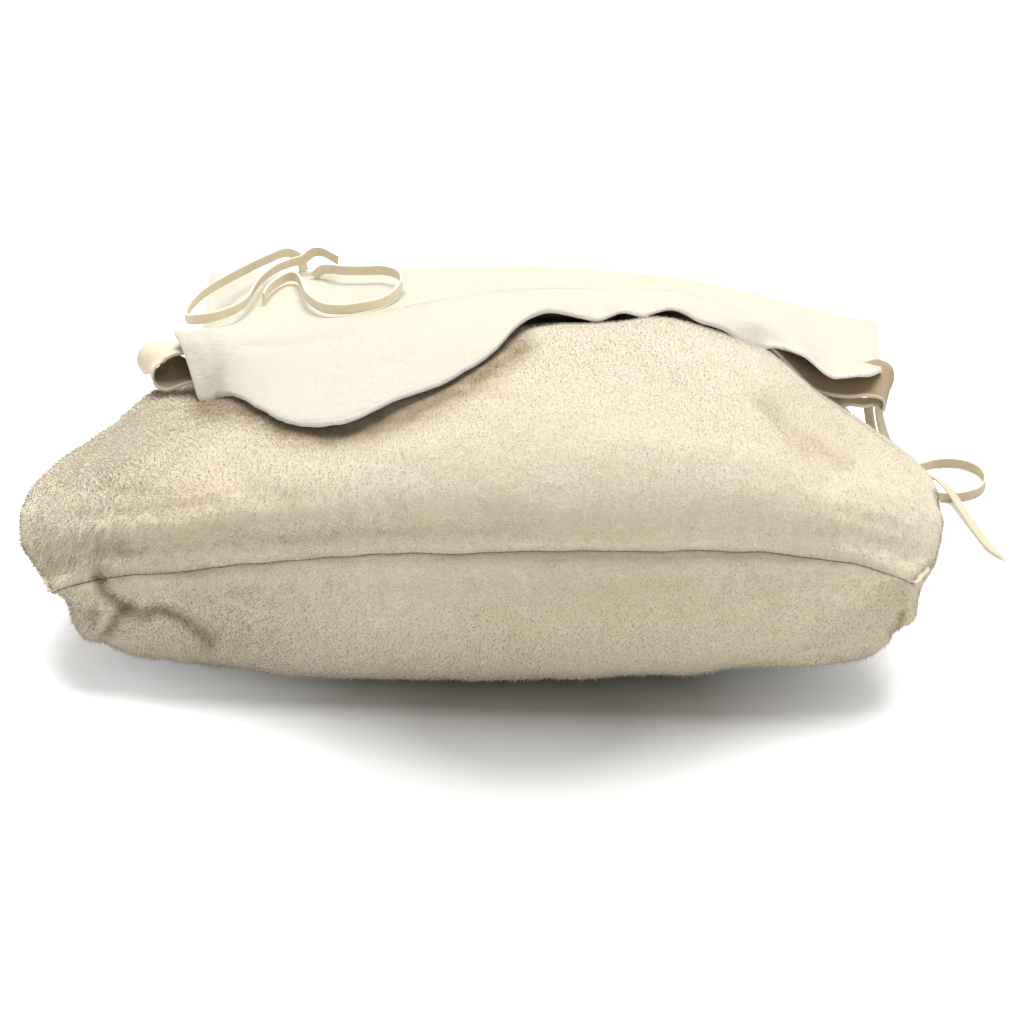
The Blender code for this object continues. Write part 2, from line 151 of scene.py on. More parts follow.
def back_rows():
    rows = []
    for j in range(ALONG + 1):
        s = j / ALONG
        sharp = SEAM_DOMING + 2.5 * bump(s - 0.35, 0.2) * (1 - bump(s, 0.1))
        rows.append([body_point(BACK_LINE, s, s, column(i), sharp) for i in range(ACROSS + 1)])
    return rows


def normals(rows, side):
    """Outward direction at each grid point, evened out so that a folded sheet keeps its thickness."""
    high, wide = len(rows), len(rows[0])
    out = []
    for j in range(high):
        line = []
        for i in range(wide):
            along = rows[min(j + 1, high - 1)][i] - rows[max(j - 1, 0)][i]
            across = rows[j][min(i + 1, wide - 1)] - rows[j][max(i - 1, 0)]
            line.append(across.cross(along).normalized() * side)
        out.append(line)
    for _ in range(NORMAL_PASSES):
        out = [[(out[max(j - 1, 0)][i] + out[min(j + 1, high - 1)][i] + out[j][max(i - 1, 0)]
                 + out[j][min(i + 1, wide - 1)] + out[j][i] * 2).normalized() for i in range(wide)]
               for j in range(high)]
    return out


# Soft folds pressed into a panel: from and to as shares across and along it, half width, depth
FRONT_FOLDS = [((0.79, 0.36), (0.84, 0.27), 0.0095, 0.0035), ((0.15, 0.09), (0.35, 0.06), 0.008, 0.0018),
               ((0.35, 0.06), (0.53, 0.09), 0.008, 0.0018), ((0.21, 0.36), (0.30, 0.24), 0.008, 0.0016)]
BACK_FOLDS = [((0.18, 0.18), (0.27, 0.24), 0.008, 0.0015)]


def press(rows, side, folds):
    """Presses soft folds into a panel, away from its edges."""
    outward = normals(rows, side)
    high = len(rows) - 1
    lines = []
    for (across, along), (across_end, along_end), wide, deep in folds:
        lines.append((rows[round(along * high)][round(across * ACROSS)],
                      rows[round(along_end * high)][round(across_end * ACROSS)], wide, deep))
    for j in range(1, high):
        for i in range(1, ACROSS):
            here = rows[j][i]
            for start, end, wide, deep in lines:
                nearest, share = intersect_point_line(here, start, end)
                nearest = start if share < 0 else end if share > 1 else nearest
                rows[j][i] = rows[j][i] - outward[j][i] * (deep * bump((here - nearest).length, wide))


def sew(front, back):
    """Parts two panels by SEAM_GAP along their shared seams and gives both the same edge direction."""
    front_out, back_out = normals(front, 1), normals(back, -1)
    pairs = [((0, i), (1, i), (0, i), (1, i)) for i in range(ACROSS + 1)]
    for j in range(1, ALONG - FOLDED_ROWS + 1):
        k = j + FOLDED_ROWS
        pairs += [((j, i), (j, m), (k, i), (k, m)) for i, m in ((0, 1), (ACROSS, ACROSS - 1))]
    moves = []
    for (fj, fi), (gj, gi), (bj, bi), (cj, ci) in pairs:
        into_front = (front[gj][gi] - front[fj][fi]).normalized()
        into_back = (back[cj][ci] - back[bj][bi]).normalized()
        moves.append((fj, fi, bj, bi, (into_front - into_back).normalized() * (SEAM_GAP / 2)))
    for fj, fi, bj, bi, apart in moves:
        edge_out = (front_out[fj][fi] + back_out[bj][bi]).normalized()
        front[fj][fi] = front[fj][fi] + apart
        back[bj][bi] = back[bj][bi] - apart
        front_out[fj][fi] = back_out[bj][bi] = edge_out
    return front_out, back_out


# The flap's raw front edge from left to right: x, y from the bottom end
FLAP_EDGE = [Vector(p) for p in (
    (-0.153, 0.172), (-0.140, 0.163), (-0.118, 0.122), (-0.100, 0.084), (-0.082, 0.058), (-0.058, 0.045),
    (-0.034, 0.055), (-0.011, 0.067), (0.008, 0.090), (0.018, 0.118), (0.030, 0.145), (0.052, 0.160),
    (0.076, 0.157), (0.100, 0.165), (0.120, 0.182), (0.140, 0.214), (0.160, 0.234), (0.178, 0.238),
    (0.188, 0.252))]
# Across the flap, left to right: x and height over its far bend, then x and height over its ridge
FLAP_FAR = [Vector(p) for p in (
    (-0.172, 0.092), (-0.115, 0.0935), (-0.055, 0.096), (0.010, 0.098), (0.060, 0.0945), (0.110, 0.087),
    (0.155, 0.079), (0.192, 0.071))]
FLAP_RIDGE = [Vector(p) for p in (
    (-0.164, 0.0995), (-0.110, 0.1065), (-0.060, 0.1150), (-0.005, 0.1255), (0.050, 0.128), (0.100, 0.1180),
    (0.150, 0.0970), (0.191, 0.0815))]

# The strap's middle line, folded in three under the flap. Where it lies on the front panel: x, y from
# the bottom end, and its lift off the panel. At its two folds: x, y, height and the way its width points
STRAP_START = [(-0.138, 0.276, 0.0032), (-0.105, 0.250, 0.0032), (-0.050, 0.228, 0.0032),
               (0.020, 0.218, 0.0032), (0.080, 0.220, 0.0032), (0.130, 0.222, 0.0034)]
STRAP_RIGHT_FOLD = [(Vector(p), Vector(w)) for p, w in (
    ((0.166, 0.222, 0.0720), (0.1, 1.0, -0.25)), ((0.184, 0.222, 0.0675), (0.2, 1.0, -0.20)),
    ((0.1930, 0.222, 0.0745), (0.25, 1.0, -0.1)), ((0.1895, 0.222, 0.0840), (0.2, 1.0, -0.1)),
    ((0.165, 0.220, 0.0828), (0.1, 1.0, -0.25)))]
STRAP_BACK = [(0.125, 0.218, 0.0062), (0.080, 0.214, 0.0060), (0.020, 0.212, 0.0060),
              (-0.050, 0.207, 0.0060), (-0.110, 0.200, 0.0060)]
STRAP_LEFT_FOLD = [(Vector(p), Vector(w)) for p, w in (
    ((-0.152, 0.204, 0.0765), (-0.2, 1.0, -0.25)), ((-0.169, 0.203, 0.0735), (-0.4, 1.0, -0.10)),
    ((-0.1785, 0.204, 0.0805), (-0.5, 1.0, 0.0)), ((-0.1745, 0.207, 0.0895), (-0.5, 1.0, 0.1)),
    ((-0.153, 0.210, 0.0910), (-0.2, 1.0, -0.1)))]
STRAP_END = [(-0.115, 0.211, 0.0125), (-0.060, 0.210, 0.0112), (-0.010, 0.211, 0.0110),
             (0.035, 0.212, 0.0110), (0.070, 0.214, 0.0108)]

# The laces' routes: x, y from the bottom end, z of the middle of the lace
LEFT_LACE = [Vector(p) for p in (
    (-0.1165, 0.3330, 0.0955), (-0.1175, 0.3335, 0.0990), (-0.1205, 0.3320, 0.1025), (-0.1259, 0.3290, 0.1045),
    (-0.1340, 0.3199, 0.1034), (-0.1478, 0.3024, 0.1003), (-0.1583, 0.2799, 0.0989), (-0.1625, 0.2600, 0.0985),
    (-0.1630, 0.2400, 0.0990), (-0.1595, 0.2240, 0.1010), (-0.1524, 0.2150, 0.1040), (-0.1440, 0.2170, 0.1050),
    (-0.1365, 0.2325, 0.1040), (-0.1345, 0.2550, 0.1010), (-0.1350, 0.2800, 0.0990), (-0.1345, 0.3000, 0.0980),
    (-0.1300, 0.3170, 0.0985), (-0.1235, 0.3250, 0.0995), (-0.1165, 0.3285, 0.1010), (-0.1110, 0.3300, 0.1045),
    (-0.1045, 0.3275, 0.1055), (-0.0955, 0.3190, 0.1040))]
LEFT_LACE_END = [Vector(p) for p in (
    (-0.1090, 0.3190, 0.0965), (-0.1035, 0.3178, 0.0995), (-0.0914, 0.3090, 0.1015), (-0.0791, 0.3060, 0.1026),
    (-0.0694, 0.3040, 0.1036), (-0.0606, 0.2940, 0.1048), (-0.0560, 0.2740, 0.1070), (-0.0555, 0.2500, 0.1100),
    (-0.0580, 0.2260, 0.1130), (-0.0650, 0.2090, 0.1150), (-0.0770, 0.2060, 0.1140), (-0.0880, 0.2150, 0.1115),
    (-0.0975, 0.2370, 0.1075), (-0.1055, 0.2650, 0.1025), (-0.1115, 0.2920, 0.0990), (-0.1165, 0.3075, 0.0975),
    (-0.1215, 0.3095, 0.0970), (-0.1260, 0.3010, 0.0965), (-0.1283, 0.2850, 0.0975), (-0.1280, 0.2680, 0.0985))]
RIGHT_LACE = [Vector(p) for p in (
    (0.1900, 0.2160, 0.0675), (0.1908, 0.2155, 0.0610), (0.1940, 0.2165, 0.0510), (0.1995, 0.2240, 0.0390),
    (0.2060, 0.2400, 0.0260), (0.2130, 0.2640, 0.0130), (0.2200, 0.2880, 0.0045), (0.2310, 0.3020, 0.0018),
    (0.2430, 0.3020, 0.0018), (0.2515, 0.2930, 0.0018), (0.2535, 0.2780, 0.0018), (0.2490, 0.2640, 0.0018),
    (0.2400, 0.2560, 0.0018), (0.2290, 0.2540, 0.0018), (0.2190, 0.2590, 0.0024), (0.2150, 0.2690, 0.0040),
    (0.2200, 0.2760, 0.0054), (0.2275, 0.2710, 0.0056), (0.2330, 0.2570, 0.0054), (0.2380, 0.2380, 0.0030),
    (0.2435, 0.2120, 0.0018), (0.2485, 0.1900, 0.0018), (0.2550, 0.1775, 0.0018))]
RIGHT_LACE_END = [Vector(p) for p in (
    (0.1850, 0.2130, 0.0650), (0.1862, 0.2115, 0.0590), (0.1885, 0.2088, 0.0510), (0.1920, 0.2065, 0.0410),
    (0.1955, 0.2055, 0.0300), (0.1970, 0.2050, 0.0190))]


def top_of(tree, x, y):
    """Height of the topmost surface over a place in plan, or None where nothing lies there."""
    hit = tree.ray_cast(Vector((x, y + BOTTOM_Y, 1.0)), Vector((0.0, 0.0, -1.0)))[0]
    return None if hit is None else hit.z


def profile(points, x):
    """Height at x along a list of (x, height) points, smoothed between them."""
    low, high = points[0][0], points[-1][0]
    t = min(max((x - low) / (high - low), 0.0), 1.0)
    spans = len(points) - 1
    i = 0
    while i < spans - 1 and points[i + 1][0] < x:
        i += 1
    f = min(max((x - points[i][0]) / (points[i + 1][0] - points[i][0]), 0.0), 1.0)
    return catmull(points, (i + f) / spans)[1] if 0.0 < t < 1.0 else points[0 if t <= 0 else -1][1]


def flap_top(tree, x, y, edge_y):
    """Height of the flap's outer side over a place in plan: high on the strap, low at the raw edge."""
    least = FLAP_LEATHER + LAY_GAP
    below = top_of(tree, x, y)
    if y >= FLAP_RIDGE_Y:
        back = min((y - FLAP_RIDGE_Y) / (FLAP_FAR_Y - FLAP_RIDGE_Y), 1.0)
        ridge, far = profile(FLAP_RIDGE, x), profile(FLAP_FAR, x)
        z = ridge + (far - ridge) * back - FLAP_SAG * sin(pi * back)
    else:
        ahead = (y - edge_y) / (FLAP_RIDGE_Y - edge_y)
        ridge_base = top_of(tree, x, FLAP_RIDGE_Y) or 0.0
        ridge_lift = max(profile(FLAP_RIDGE, x) - ridge_base, FLAP_EDGE_LIFT)
        z = (below or 0.0) + FLAP_EDGE_LIFT + (ridge_lift - FLAP_EDGE_LIFT) * (1 - (1 - ahead) ** FLAP_FALL)
    return z if below is None else max(z, below + least)


def flap_rows(tree, back):
    """Rows from the lap on the back panel, up the far bend and over the top to the raw edge."""
    lip_out = normals(back, -1)[-1]
    rows = [[] for _ in range(FLAP_LAP_ROWS + FLAP_WALL_ROWS + FLAP_TOP_ROWS + 1)]
    for i in range(FLAP_ACROSS + 1):
        a = i / FLAP_ACROSS
        place = (0.03 + 0.94 * a) * ACROSS
        k = min(int(place), ACROSS - 1)
        f = place - k
        lip = back[-1][k].lerp(back[-1][k + 1], f)
        before = back[-2][k].lerp(back[-2][k + 1], f)
        out = lip_out[k].lerp(lip_out[k + 1], f).normalized() * (LAY_GAP + FLAP_LEATHER)
        lap = lip + out
        start = lip.lerp(before, 0.8) + out
        edge_x, edge_y = catmull(FLAP_EDGE, a)
        far_x = FLAP_FAR[0][0] + (FLAP_FAR[-1][0] - FLAP_FAR[0][0]) * a
        far_z = profile(FLAP_FAR, far_x)
        for j in range(FLAP_LAP_ROWS):
            rows[j].append(start.lerp(lap, j / FLAP_LAP_ROWS))
        wall = [lap, Vector(((lap.x + far_x) / 2, FLAP_FAR_Y - 0.004 + BOTTOM_Y, lap.z + (far_z - lap.z) * 0.35)),
                Vector((far_x, FLAP_FAR_Y + 0.002 + BOTTOM_Y, lap.z + (far_z - lap.z) * 0.8)),
                Vector((far_x, FLAP_FAR_Y - 0.010 + BOTTOM_Y, far_z))]
        for j in range(FLAP_WALL_ROWS):
            rows[FLAP_LAP_ROWS + j].append(catmull(wall, j / FLAP_WALL_ROWS))
        for j in range(FLAP_TOP_ROWS + 1):
            b = j / FLAP_TOP_ROWS
            x = far_x + (edge_x - far_x) * b
            y = FLAP_FAR_Y - 0.010 + (edge_y - FLAP_FAR_Y + 0.010) * b
            rows[FLAP_LAP_ROWS + FLAP_WALL_ROWS + j].append(
                Vector((x, y + BOTTOM_Y, flap_top(tree, x, y, edge_y))))
    return rows


def on_panel(tree, places):
    """Points of the strap's middle line that lie on the front panel, with the panel's slope there."""
    reach = STRAP_WIDTH / 2
    out = []
    for x, y, lift in places:
        near, here, far = (top_of(tree, x, y + step) for step in (-reach, 0.0, reach))
        slope = Vector((0.0, 2 * reach, far - near))
        out.append((Vector((x, y, (near + here + far) / 3 + lift)), slope))
    return out


def strap_rows(tree):
    """Rows across the strap's width, along its folded line, and the outward way at each point."""
    line = on_panel(tree, STRAP_START) + STRAP_RIGHT_FOLD + on_panel(tree, STRAP_BACK)
    line += STRAP_LEFT_FOLD + on_panel(tree, STRAP_END)
    places = [p for p, _ in line]
    widths = [w.normalized() for _, w in line]
    rows, outward = [], []
    for j in range(STRAP_ROWS + 1):
        t = j / STRAP_ROWS
        ahead = (catmull(places, t + 0.004) - catmull(places, t - 0.004)).normalized()
        wide = catmull(widths, t)
        wide = (wide - ahead * wide.dot(ahead)).normalized()
        middle = catmull(places, t) + Vector((0.0, BOTTOM_Y, 0.0))
        rows.append([middle + wide * (STRAP_WIDTH / 2 * k) for k in (-1, 0, 1)])
        outward.append([ahead.cross(wide).normalized()] * 3)
    return rows, outward


def seat(route, tree):
    """The route with its start brought up to the face that the lace comes out of."""
    start = route[0] + Vector((0.0, BOTTOM_Y, 0.0))
    face = tree.find_nearest(start)[0]
    way = (start - face).normalized()
    ahead = (route[1] - route[0]).normalized()
    place = face + way * (LACE_GAP + LACE_DIAMETER / 2 * way.cross(ahead).length)
    return [place - Vector((0.0, BOTTOM_Y, 0.0))] + route[1:]


# The camera, as it stood for the photograph
VIEW_AZIMUTH = radians(4)
VIEW_ELEVATION = radians(23)
VIEW_DISTANCE = 1.052
VIEW_TARGET = Vector((0.021, BOTTOM_Y, 0.096))
FOCAL_LENGTH = 87.89
SENSOR_WIDTH = 36.0
PICTURE = 1024

# Driving dimensions of the finish
LACE_WIDTH = 0.0053
LACE_THICKNESS = 0.0013
SEAM_DEPTH = 0.0017
SEAM_REACH = 0.0028
ROLL_HEIGHT = 0.0009
EDGE_ROUNDING = 0.0004
FLAP_EDGE_THICKNESS = 0.0021
STITCH_PITCH = 0.0033
STITCH_LENGTH = 0.0012
STITCH_WIDTH = 0.00045
NAP_LENGTH = 0.0027
NAP_WIDTH = 0.00026
FLAP_NAP_LENGTH = 0.0009

# How finely the sheets are divided for the picture
FRONT_FINE = (11, 5)
BACK_FINE = (9, 5)
FLAP_FINE = (8, 8)
STRAP_FINE = (4, 4)


def view_axes():
    """The camera's right, up and forward ways and its place."""
    ca, sa = cos(VIEW_AZIMUTH), sin(VIEW_AZIMUTH)
    ce, se = cos(VIEW_ELEVATION), sin(VIEW_ELEVATION)
    ahead = np.array([-sa * ce, ca * ce, -se])
    return (np.array([ca, sa, 0.0]), np.array([-sa * se, ca * se, ce]), ahead,
            np.array(VIEW_TARGET) - ahead * VIEW_DISTANCE)


def make_camera():
    right, up, ahead, eye = (Vector(v) for v in view_axes())
    data = bpy.data.cameras.new("camera")
    data.sensor_fit = 'HORIZONTAL'
    data.sensor_width = SENSOR_WIDTH
    data.lens = FOCAL_LENGTH
    data.clip_start = 0.05
    camera = bpy.data.objects.new("camera", data)
    camera.matrix_world = Matrix.Translation(eye) @ Matrix((right, up, -ahead)).transposed().to_4x4()
    bpy.context.collection.objects.link(camera)
    bpy.context.scene.camera = camera


def link(name, mesh):
    thing = bpy.data.objects.new(name, mesh)
    bpy.context.collection.objects.link(thing)
    return thing


def painted(mesh, name, values, kind='FLOAT'):
    """Keeps a number or a vector for each point on a mesh; points past the end of the list get none."""
    width, key = (3, "vector") if kind == 'FLOAT_VECTOR' else (1, "value")
    whole = np.zeros(len(mesh.vertices) * width)
    given = np.ravel(values)
    whole[:given.size] = given
    mesh.attributes.new(name, kind, 'POINT').data.foreach_set(key, whole)


def mesh_of(name, points, faces, materials=(), slots=None):
    mesh = bpy.data.meshes.new(name)
    mesh.from_pydata([tuple(p) for p in points], [], faces)
    for material in materials:
        mesh.materials.append(material)
    if slots is not None:
        mesh.polygons.foreach_set("material_index", np.asarray(slots, np.int32))
    mesh.shade_smooth()
    return mesh


def node(tree, kind, inputs=None, **settings):
    """A node with its settings, its inputs set by name or number to a value or to another node's output."""
    made = tree.nodes.new(kind)
    for key, value in settings.items():
        setattr(made, key, value)
    for key, value in (inputs or {}).items():
        if isinstance(value, bpy.types.NodeSocket):
            tree.links.new(value, made.inputs[key])
        else:
            made.inputs[key].default_value = value
    return made


# Materials

def mixed(tree, share, low, high):
    """Colour between two colours, or two colour outputs, by a share."""
    mix = node(tree, "ShaderNodeMix", data_type='RGBA')
    for socket, value in ((mix.inputs[0], share), (mix.inputs[6], low), (mix.inputs[7], high)):
        if isinstance(value, bpy.types.NodeSocket):
            tree.links.new(value, socket)
        else:
            socket.default_value = (*value, 1.0) if isinstance(value, tuple) else value
    return mix.outputs[2]


def ranged(tree, value, low, high, to_low=0.0, to_high=1.0):
    return node(tree, "ShaderNodeMapRange", {0: value, 1: low, 2: high, 3: to_low, 4: to_high}).outputs[0]


def grain(tree, place, scale, detail=3.0, roughness=0.6, distortion=0.0):
    return node(tree, "ShaderNodeTexNoise", {"Vector": place, "Scale": scale, "Detail": detail,
                                             "Roughness": roughness, "Distortion": distortion}).outputs[0]


def stretched(tree, place, size, turn=(0.0, 0.0, 0.0)):
    return node(tree, "ShaderNodeMapping", {"Vector": place, "Rotation": turn, "Scale": size}).outputs[0]


def kept(tree, name):
    """What the mesh keeps for each point under a name."""
    return node(tree, "ShaderNodeAttribute", attribute_name=name).outputs["Fac"]


def bare_material(name, roughness, sheen=0.0, sheen_tint=(1.0, 0.97, 0.9)):
    """A new material's node tree, its Object coordinates and its shader, which has plain sockets set."""
    material = bpy.data.materials.new(name)
    material.use_nodes = True
    tree = material.node_tree
    shader = tree.nodes["Principled BSDF"]
    shader.inputs["Roughness"].default_value = roughness
    shader.inputs["Specular IOR Level"].default_value = 0.15
    shader.inputs["Sheen Weight"].default_value = sheen
    shader.inputs["Sheen Roughness"].default_value = 0.6
    shader.inputs["Sheen Tint"].default_value = (*sheen_tint, 1.0)
    place = node(tree, "ShaderNodeTexCoord").outputs["Object"]
    return material, tree, place, shader


def bumped(tree, shader, heights):
    """Chains bumps, coarse first: (height output, strength, distance)."""
    normal = None
    for height, strength, distance in heights:
        bump_node = node(tree, "ShaderNodeBump", {"Height": height, "Strength": strength, "Distance": distance})
        if normal is not None:
            tree.links.new(normal, bump_node.inputs["Normal"])
        normal = bump_node.outputs[0]
    tree.links.new(normal, shader.inputs["Normal"])


def with_painted_shade(tree, tone, colour, shares):
    """A tone that goes over to a darker, browner share of a colour by the 'fold' attribute: painted shade in the
    creases, in the seam groove and under the flap's edge.
    """
    dark = tuple(c * s for c, s in zip(colour, shares))
    return mixed(tree, ranged(tree, kept(tree, "fold"), 0.0, 1.0, 0.0, 0.9), tone, dark)


def buckskin(name, pale, deep, blotch, nap_scale, nap_depth, sheen):
    """Napped leather: broad blotches, hand-sized clouding, curly nap and its shaded roots, darkened by the painted
    shade kept in 'fold'.
    """
    material, tree, place, shader = bare_material(name, 0.95, sheen)
    clouds = ranged(tree, grain(tree, place, 11.0, 4.0, 0.55), 0.35, 0.68)
    mottle = ranged(tree, grain(tree, place, 95.0, 4.0, 0.65, 0.6), 0.32, 0.70)
    curls = grain(tree, stretched(tree, place, (0.55, 1.0, 1.0), (0.0, 0.5, 0.25)), nap_scale, 3.0, 0.7, 2.2)
    fine = grain(tree, place, nap_scale * 2.6, 2.0, 0.6, 0.5)
    tone = mixed(tree, ranged(tree, curls, 0.28, 0.66), deep, pale)
    tone = mixed(tree, ranged(tree, mottle, 0.0, 1.0, 0.0, 0.55), tone, blotch)
    tone = mixed(tree, ranged(tree, clouds, 0.0, 1.0, 0.0, 0.60), tone, blotch)
    # The tone is darkened by the painted shade kept in 'fold'.
    tree.links.new(with_painted_shade(tree, tone, deep, (0.50, 0.42, 0.32)), shader.inputs["Base Color"])
    bumped(tree, shader, [(mottle, 0.5, 0.0008), (curls, 0.55, nap_depth), (fine, 0.4, nap_depth * 0.4)])
    return material


def fibre_material(name, root, tip):
    """Nap fibres: each has its own shade, kept on the mesh as an attribute."""
    material, tree, place, shader = bare_material(name, 0.9, 0.35)
    clouds = ranged(tree, grain(tree, place, 14.0, 3.0, 0.6), 0.35, 0.68, 0.0, 0.30)
    tone = mixed(tree, clouds, mixed(tree, kept(tree, "shade"), root, tip), root)
    # The fibre's tone is darkened by the painted shade kept in 'fold'.
    tree.links.new(with_painted_shade(tree, tone, root, (0.54, 0.44, 0.33)), shader.inputs["Base Color"])
    return material


def cut_edge_material(name, pale, deep):
    """A knife-cut leather edge: paler than its faces, with a fine fibrous grain."""
    material, tree, place, shader = bare_material(name, 0.9, 0.2)
    fibres = grain(tree, stretched(tree, place, (1.0, 1.0, 2.5)), 900.0, 3.0, 0.7, 0.8)
    tree.links.new(mixed(tree, ranged(tree, fibres, 0.35, 0.65), deep, pale), shader.inputs["Base Color"])
    bumped(tree, shader, [(fibres, 0.6, 0.0003)])
    return material


def lace_leather(name, face, edge):
    """A cut lace: tan faces and pale cut sides, by the attribute 'side'."""
    material, tree, place, shader = bare_material(name, 0.8, 0.1)
    streaks = grain(tree, place, 160.0, 3.0, 0.6, 0.5)
    tone = mixed(tree, ranged(tree, streaks, 0.3, 0.7, 0.0, 0.4), face, tuple(c * 0.8 for c in face))
    tone = mixed(tree, ranged(tree, kept(tree, "side"), 0.42, 0.49), tone, edge)
    tree.links.new(tone, shader.inputs["Base Color"])
    bumped(tree, shader, [(streaks, 0.3, 0.0003)])
    return material


def tan_leather(name, pale, deep, roughness):
    """Smooth-side leather: fine pores, faint streaks along the strap and a slight handling gloss."""
    material, tree, place, shader = bare_material(name, roughness, 0.15)
    clouds = ranged(tree, grain(tree, place, 28.0, 4.0, 0.6), 0.35, 0.65)
    streaks = grain(tree, stretched(tree, place, (60.0, 420.0, 420.0)), 1.0, 3.0, 0.6, 0.4)
    pores = node(tree, "ShaderNodeTexVoronoi", {"Vector": place, "Scale": 1500.0}).outputs["Distance"]
    tone = mixed(tree, clouds, deep, pale)
    tone = mixed(tree, ranged(tree, streaks, 0.3, 0.7, 0.0, 0.25), tone, deep)
    tree.links.new(tone, shader.inputs["Base Color"])
    bumped(tree, shader, [(streaks, 0.25, 0.0003), (pores, 0.25, 0.0001)])
    return material


def plain_thread(name, colour):
    material, tree, place, shader = bare_material(name, 0.7)
    twist = node(tree, "ShaderNodeTexWave", {"Vector": place, "Scale": 900.0, "Distortion": 1.0}).outputs["Fac"]
    tree.links.new(mixed(tree, twist, tuple(c * 0.6 for c in colour), colour), shader.inputs["Base Color"])
    return material


# Sheets in fine steps

def spline(points, steps, axis=0):
    """The same smooth curve as catmull, over a whole array, with so many steps to a span."""
    a = np.moveaxis(points, axis, 0)
    padded = np.concatenate([2 * a[:1] - a[1:2], a, 2 * a[-1:] - a[-2:-1]])
    p0, p1, p2, p3 = (padded[k:len(padded) - 3 + k][:, None] for k in range(4))
    f = (np.arange(steps) / steps).reshape((1, steps) + (1,) * (a.ndim - 1))
    spans = (2 * p1 + (p2 - p0) * f + (2 * p0 - 5 * p1 + 4 * p2 - p3) * f ** 2
             + (3 * p1 - 3 * p2 + p3 - p0) * f ** 3) / 2
    whole = np.concatenate([spans.reshape((-1,) + a.shape[1:]), a[-1:]])
    return np.moveaxis(whole, 0, axis)


def fine(rows, steps):
    grid = np.array([[tuple(p) for p in row] for row in rows])
    return spline(spline(grid, steps[0]), steps[1], 1)


def unit(vectors):
    return vectors / np.maximum(np.linalg.norm(vectors, axis=-1, keepdims=True), 1e-12)


def run_length(grid, axis):
    """Distance along the grid's lines from their first point."""
    steps = np.linalg.norm(np.diff(grid, axis=axis), axis=-1)
    zero = np.zeros_like(np.take(steps, [0], axis=axis))
    return np.concatenate([zero, np.cumsum(steps, axis=axis)], axis=axis)


def to_ends(length, axis):
    """Distance to the nearer end of each line."""
    return np.minimum(length, np.take(length, [-1], axis=axis) - length)


def dips(distance, reach):
    """1 at no distance, falling off smoothly within a reach."""
    return np.exp(-(distance / reach) ** 2)


def ramp(values, start, span):
    """From 0 at the start to 1 a span further; a span below 0 runs the other way."""
    return np.clip((values - start) / span, 0, 1)


def nearest_line(spots, places, tiny):
    """Distance of each spot from a line through places."""
    least = np.full(spots.shape[:2], 9e9)
    for a, b in zip(places, places[1:]):
        share = np.clip(((spots - a) @ (b - a)) / max((b - a) @ (b - a), tiny), 0.0, 1.0)
        least = np.minimum(least, np.linalg.norm(spots - a - share[..., None] * (b - a), axis=-1))
    return least


def from_line(grid, points):
    """Distance of each grid point from a line through some places, y from the bottom end."""
    return nearest_line(grid, spline(np.array(points, float), 4) + np.array([0.0, BOTTOM_Y, 0.0]), 0.0)


def seen_from_line(grid, points):
    """Distance of each grid point, as the camera sees it, from a line of picture places (0 to 1024)."""
    right, up, ahead, eye = view_axes()
    off = grid - eye
    depth = off @ ahead
    scale = FOCAL_LENGTH / SENSOR_WIDTH * PICTURE / depth
    place = np.stack([PICTURE / 2 + scale * (off @ right), PICTURE / 2 - scale * (off @ up)], -1)
    places = spline(np.array(points, float), 4) if len(points) > 1 else np.array([points[0]] * 2, float)
    return nearest_line(place, places, 1e-9) / scale


def rough(grid, scale, seed=0.0):
    """Smooth noise from -1 to 1 at each grid point."""
    flat = grid.reshape(-1, 3) * scale + seed
    return np.array([noise.noise(p) for p in flat]).reshape(grid.shape[:2])


def grid_faces(high, wide):
    """The four-sided faces of a grid of points."""
    index = np.arange(high * wide).reshape(high, wide)
    return np.stack([index[:-1, :-1], index[:-1, 1:], index[1:, 1:], index[1:, :-1]], -1).reshape(-1, 4)


def sheet_mesh(name, outer, out, thickness, materials, side, rounding=EDGE_ROUNDING, slant=0.0):
    """A closed sheet from a fine grid: faces in slot 0, inner faces in slot 1, the cut edge in slot 2.

    slant is how far the knife ran out under the edge, so that the cut looks up."""
    high, wide = outer.shape[:2]
    inner = outer - out * thickness
    rim = [(0, i) for i in range(wide - 1)] + [(j, wide - 1) for j in range(high - 1)]
    rim += [(high - 1, i) for i in range(wide - 1, 0, -1)] + [(j, 0) for j in range(high - 1, 0, -1)]
    count = high * wide
    quads = grid_faces(high, wide)
    rim_at = [j * wide + i for j, i in rim]
    points = np.concatenate([outer.reshape(-1, 3), inner.reshape(-1, 3)])
    faces = quads.tolist() + (quads + count)[:, ::-1].tolist()
    slots = [0] * len(quads) + [1] * len(quads)
    upper, lower = points[rim_at], points[[k + count for k in rim_at]]
    inward = [(min(max(j, 1), high - 2), min(max(i, 1), wide - 2)) for j, i in rim]
    away = unit(np.array([outer[j, i] - outer[m, n] for (j, i), (m, n) in zip(rim, inward)]))
    lower = lower + away * slant
    points[[k + count for k in rim_at]] = lower
    around = len(rim_at)
    rings = [np.array(rim_at), *(2 * count + around * k + np.arange(around) for k in range(3)),
             np.array(rim_at) + count]
    points = np.concatenate([points] + [upper + (lower - upper) * f + away * rounding * bulge
                                        for f, bulge in ((0.14, 0.8), (0.5, 1.15), (0.86, 0.8))])
    for first, second in zip(rings, rings[1:]):
        nexts = np.stack([np.roll(first, -1), first, second, np.roll(second, -1)], -1)
        faces += nexts.tolist()
        slots += [2] * around
    if side < 0:
        faces = [f[::-1] for f in faces]
    return mesh_of(name, points, faces, materials, slots)


# Geometry trees

